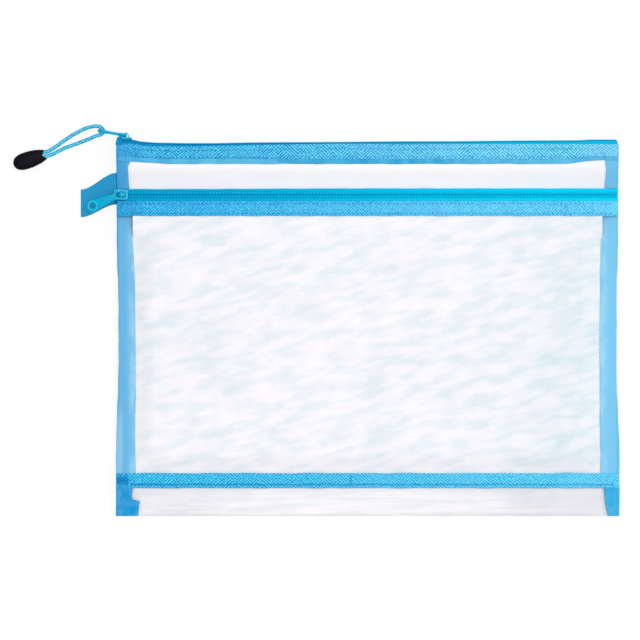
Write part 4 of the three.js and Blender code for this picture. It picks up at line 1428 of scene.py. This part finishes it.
@dataclass
class BottomSeam:
    """Folded strip over the bottom seam, running over both side bindings to their outer edges."""

    finishes: Finishes
    join_x: float = -11.5
    block: tuple[float, float] = (-171.0, -161.8)
    thickness: float = 0.4
    corner: float = 0.9
    lower_turn: float = 0.75
    under_turn: float = 0.8
    under_x: float = 160.6
    under_z: float = 5.0

    def build(self) -> None:
        """Makes the strip in two lengths, its lower leg, the sewn block at its end and its stitches."""
        low, high = reach("bottom_seam_binding")
        left = self.strip("bottom_seam_left", low[0] + 0.2, self.join_x + 0.6, 0.0)
        right = self.strip("bottom_seam_right", self.join_x, high[0] - 0.2, 0.02)
        stand_for(left, "binding_blue", "bottom_seam_binding")
        stand_for(right, "binding_blue")
        stand_for(self.under(), "binding_blue")
        thread, pale = self.finishes.thread, self.finishes.pale_thread
        x = np.arange(low[0] + 10, high[0] - 3, 1.45)
        up = np.arange(len(x)) % 2
        y = low[1] + 1.9 + 1.1 * up + 0.2 * ripple(x, 0 * x, ((43, 0, 0.4), (29, 0, 1.9)))
        self.lines("bottom_zigzag", grid(x, y, high[2] + 0.16), 0.34, thread)
        x = np.arange(low[0] + 4, high[0] - 4, 2.9)
        sew("bottom_row", x, high[1] - 2.6, high[2] + 0.1, (2.0, 0, 0), 0.17, pale)
        x, y = np.array((self.join_x + 0.3, self.join_x)), np.array((high[1] - 0.5, low[1] + 1.5))
        self.lines("bottom_join", grid(x, y, high[2] + 0.14), 0.34, thread)
        x = np.repeat(np.linspace(self.block[0] + 1.2, self.block[1] - 0.6, 9), 2)
        y = np.tile([low[1] + 0.9, high[1] - 0.9], 9)
        self.lines("bottom_block_stitches", grid(x, y, high[2] + 0.18), 0.14, thread)

    @staticmethod
    def lines(name: str, points: Array, radius: float, thread: Material) -> None:
        """Puts a stitch between each point and the next.

        Args:
            name: of the object. points: in mm. radius: of the thread. thread: its finish.
        """
        stand_for(stitches(name, points[:-1], points[1:], radius, thread), "binding_blue")

    def strip(self, name: str, start: float, end: float, lift: float) -> Thing:
        """Upper leg from one X to another, rolled over its lower edge and turned down at an outer end.

        Args:
            name: of the object. start, end: in mm. lift: raises the length that overlaps the other.

        Returns:
            The object.
        """
        low, high = reach("bottom_seam_binding")
        corner, outer = self.corner, high[2] - self.thickness / 2 + lift
        inward = 1 if abs(start) > abs(end) else -1
        line = np.linspace(start, end, 240)[::inward]
        flat = line[np.abs(line - line[0]) > corner]
        roll = np.linspace(0, np.pi / 2, 7)[:-1]
        wall = np.linspace(low[2] + 0.1, outer - corner, 4)
        x = np.concatenate([0 * wall + line[0], line[0] + inward * corner * (1 - np.cos(roll)), flat])
        z = np.concatenate([wall, outer - corner + corner * np.sin(roll), 0 * flat + outer])
        x, z = x[::inward, None], z[::inward, None]
        t = row(0, 1, 12)
        wave = 0.3 * ripple(x, 0 * x, ((35, 0, 2.4), (22, 0, 0.4), (57, 0, 4.9)))
        wave_low = 0.3 * ripple(x, 0 * x, ((31, 0, 0.4), (19, 0, 3.4), (53, 0, 1.9)))
        turn = row(0, np.pi / 2, 6)[:, 1:]
        top, base = high[1] - 0.1 + wave, low[1] + 0.2 + self.lower_turn + wave_low
        leg_y = top + (base - top) * t
        puff = 0.12 * np.sin(np.pi * t) + 0.12 * (1 + ripple(x, leg_y, ((17, 20, 0.4), (9, 80, 1.2))))
        rolled = (base - self.lower_turn * np.sin(turn), z - self.lower_turn * (1 - np.cos(turn)))
        middle = legs(x, (leg_y, z + puff * (z > outer - 0.01)), rolled)
        return ribbon(name, middle, self.thickness, self.finishes.seam)

    def under(self) -> Thing:
        """Lower leg of the fold, between the side bindings; returns the object."""
        low, high = reach("bottom_seam_binding")
        x = column(-self.under_x, self.under_x, 200)
        t = row(0, 1, 8)
        turn = row(np.pi / 2, np.pi, 5)[:, :-1]
        edge, radius = low[1] + 0.25, self.under_turn
        rolled = (edge + radius * (1 - np.sin(turn)), self.under_z + radius * (1 + np.cos(turn)))
        middle = legs(x, rolled, (edge + radius + (high[1] - 0.3 - edge - radius) * t, self.under_z))
        return ribbon("bottom_seam_under", middle, self.thickness, self.finishes.seam)


@dataclass
class SideLoop:
    """Ribbed webbing folded double, sewn to the left side seam, lying down to the table."""

    finishes: Finishes
    root_x: float = -170.3
    root_z: float = 5.0
    length: float = 24.5
    layer: float = 1.1
    gap: float = 0.5
    root_y: tuple[float, float] = (84.5, 105.2)
    end_y: tuple[float, float] = (76.0, 94.1)

    def build(self) -> None:
        """Makes the loop."""
        offset = (self.layer + self.gap) / 2
        fold = self.layer + self.gap / 2
        end_z = 0.2 + fold
        t = np.linspace(0, 1, 50)
        spine_x = self.root_x - t * (self.length - fold)
        spine_z = self.root_z + (end_z - self.root_z) * smooth(t)
        turn = np.linspace(-np.pi / 2, np.pi / 2, 17)[1:-1]
        fold_x, fold_z = spine_x[-1] - offset * np.cos(turn), spine_z[-1] + offset * np.sin(turn)
        x = np.concatenate([spine_x, fold_x, spine_x[::-1]])[:, None]
        z = np.concatenate([spine_z - offset, fold_z, spine_z[::-1] + offset])[:, None]
        share = smooth((self.root_x - x) / self.length)
        low, high = (root + (end - root) * share for root, end in zip(self.root_y, self.end_y))
        y = low + (high - low) * row(0, 1, 40)
        made = ribbon("side_loop_webbing", grid(x, y, z), self.layer, self.finishes.webbing)
        stand_for(made, "webbing", "side_loop")


@dataclass
class Slider:
    """Moulded slider of a coil zip: two plates, side walls, a wedge, a bridge and its pull."""

    finishes: Finishes
    name: str
    place: Matrix
    pull_place: Matrix
    pull_reach: float
    wall_z: float = 0.75
    plate_z: tuple[float, float] = (2.05, 2.95)
    back_z: tuple[float, float] = (-1.15, -0.25)
    half_width: float = 3.7
    nose: float = 5.5
    shoulder: float = 3.0
    tail: float = 4.0
    axis_z: float = 4.2
    pull_half: float = 0.75
    eye_x: float = 2.3
    eye_radius: float = 2.9
    end_radius: float = 4.0

    def outline(self, inset: float = 0.0) -> Array:
        """Returns: the plate's outline: straight tail, widening sides, and a nose of two curves."""
        side, tail = self.half_width - inset, 3.0 - inset
        nose, back = self.nose - inset, self.tail - inset
        upper = bend((-self.shoulder, side), (-nose, side), (-nose, 1.1))
        return np.vstack([[[back, -tail], [back, tail]], upper, (upper * [1, -1])[::-1]])

    def part(
        self, kind: str, loop: Array, faces: tuple[float, float], bevel: float, rim: bool = False,
        turned: Matrix = Matrix(), nodes: Sequence[str] = (),
    ) -> None:
        """Puts a plate on the slider.

        Args:
            kind: last word of its name. loop: outline in mm. faces: its low and high face. bevel:
                of its rims. rim: whether it takes the paler enamel of painted highlight rather than the
                    darker
                enamel of painted shade. turned: its own frame. nodes: that it replaces.
        """
        finish = self.finishes.rim_enamel if rim else self.finishes.dark_enamel
        made = plate(f"{self.name}_slider_{kind}", [loop], *faces, bevel, finish, self.place @ turned)
        stand_for(made, "slider_enamel", *nodes, body=f"{self.name}_slider")

    def build(self) -> None:
        """Makes the slider's pieces and its pull."""
        top = self.plate_z[1]
        body = [f"{self.name}_slider_body"]
        # Front plate paler as painted highlight round an inset panel darker as painted shade.
        self.part("front", self.outline(), self.plate_z, 0.32, rim=True, nodes=body)
        self.part("panel", self.outline(0.85), (top - 0.2, top + 0.06), 0.05)
        self.part("back", self.outline(), self.back_z, 0.3)
        half_wall = np.array([
            (self.tail, 2.35), (self.tail, 2.95), (-self.shoulder, 3.62), (-4.6, 3.1), (-4.9, 2.7),
            (-self.shoulder, 2.6),
        ])
        for side, sign in (("right", -1), ("left", 1)):
            wall = (half_wall * [1, sign])[::sign]
            self.part(f"wall_{side}", wall, (self.wall_z, self.plate_z[0] + 0.4), 0.18)
        wedge = np.array([(-5.5, -0.75), (-1.6, -0.3), (-1.4, 0.0), (-1.6, 0.3), (-5.5, 0.75)])
        self.part("wedge", wedge, (-0.7, 2.4), 0.12)
        outer = np.vstack([[(2.1, 2.3)], arc((0, self.axis_z), 2.1, 0, np.pi, 25), [(-2.1, 2.3)]])
        inner = np.vstack([[(-1.3, 2.3)], arc((0, self.axis_z), 1.3, np.pi, 0, 21), [(1.3, 2.3)]])
        upright = Matrix.Rotation(math.pi / 2, 4, "X")
        self.part("bridge", np.vstack([outer, inner]), (-0.6, 0.6), 0.22, rim=True, turned=upright)
        pull = f"{self.name}_pull"
        stand_for(self.pull(), "slider_enamel", f"{self.name}_slider_pull", body=pull)
        # Raised rims round the pull's holes, in the enamel with painted highlight.
        rim_z = self.pull_half - 0.13
        for number, (x, radius) in enumerate(((self.eye_x, 2.3), (self.pull_reach, 3.0))):
            for side, z in (("under", -rim_z), ("over", rim_z)):
                name = f"{pull}_rim_{number}_{side}"
                rim = hoop(name, (x, 0, z), radius, 0.38, self.finishes.rim_enamel, self.pull_place)
                stand_for(rim, "slider_enamel", body=pull)

    def pull(self) -> Thing:
        """Pull: an eye ring and an end ring joined by a waist of two drawn-in curves.

        Returns:
            The object.
        """
        eye, far, waist, end = self.eye_x, self.pull_reach, 2.1, self.end_radius
        drawn = self.eye_radius * math.sin(math.pi / 4)
        corner_x, waist_x = eye + drawn, eye + drawn + waist
        rim = np.vstack([
            arc((eye, 0), self.eye_radius, np.pi / 4, 7 * np.pi / 4, 40),
            bend((corner_x, -drawn), (waist_x, -waist), (far, -end), 16)[1:-1],
            arc((far, 0), end, -np.pi / 2, np.pi / 2, 32),
            bend((far, end), (waist_x, waist), (corner_x, drawn), 16)[1:-1],
        ])
        holes = [arc((x, 0), radius, 0, -2 * np.pi, 33)[:-1] for x, radius in ((eye, 1.7), (far, 1.9))]
        faces = (-self.pull_half, self.pull_half)
        name, finish = f"{self.name}_pull_enamel", self.finishes.enamel
        return plate(name, [rim, *holes], *faces, 0.42, finish, self.pull_place)


def main() -> None:
    """Builds the studio and every sub-assembly of the bag."""
    logging.basicConfig(level=logging.INFO, format="%(name)s: %(message)s")
    finishes = Finishes()
    Studio().build()
    PullCord(finishes).build()
    Net(finishes).build()
    SideBinding(
        finishes, "left_side_binding", -1,
        inner=(
            (-127.2, 155.6), (-119, 155.2), (-118, 154.6), (-116.8, 154.2), (-116, 160.2),
            (-108.6, 159.2), (-98, 157.3), (-73, 157.0), (-48, 155.8), (-12, 155.8), (12, 156.9),
            (37, 157.9), (60, 159.3), (88, 159.8), (95, 161.6), (109, 162.3), (112, 161.0), (125, 160.9),
        ),
        outer=(
            (-127.2, 170.5), (-85, 170.4), (-61, 170.0), (-48, 169.4), (-24, 168.8), (12, 168.8),
            (37, 169.4), (60, 170.0), (125, 170.0),
        ),
    ).build()
    SideBinding(
        finishes, "right_side_binding", 1,
        inner=(
            (-127.2, 163.2), (-118, 161.6), (-110, 160.8), (-98, 158.0), (-85, 157.8), (-61, 156.4),
            (-36, 156.2), (-24, 155.7), (0, 155.8), (25, 157.0), (49, 157.9), (74, 159.1), (88, 159.6),
            (95, 161.0), (108, 161.6), (112, 160.9), (125, 160.9),
        ),
        outer=(
            (-127.2, 170.6), (-118, 170.9), (-80, 170.8), (-61, 170.0), (-36, 168.9), (25, 169.0),
            (60, 169.9), (125, 169.8),
        ),
    ).build()
    TopEdge(finishes).build()
    FrontZip(finishes).build()
    BottomSeam(finishes).build()
    SideLoop(finishes).build()
    lying = Matrix.Rotation(math.radians(203), 4, "Z")
    Slider(
        finishes, "front", Matrix.Translation((-166.4, 90.6, 8.0)),
        Matrix.Translation((-166.535, 91.264, 12.2)) @ lying, 21.2,
    ).build()
    on_side = Matrix.Rotation(-math.pi / 2, 4, "X")
    tilt = math.radians(10)
    raised = Matrix((
        (-math.cos(tilt), 0, math.sin(tilt)), (math.sin(tilt), 0, math.cos(tilt)), (0, 1, 0),
    )).to_4x4()
    Slider(
        finishes, "top", Matrix.Translation((-163.9, 126.7, 6.15)) @ on_side,
        Matrix.Translation((-163.9, 130.9, 6.15)) @ raised, 15.5, pull_half=0.95,
    ).build()


if __name__ == "__main__":
    main()
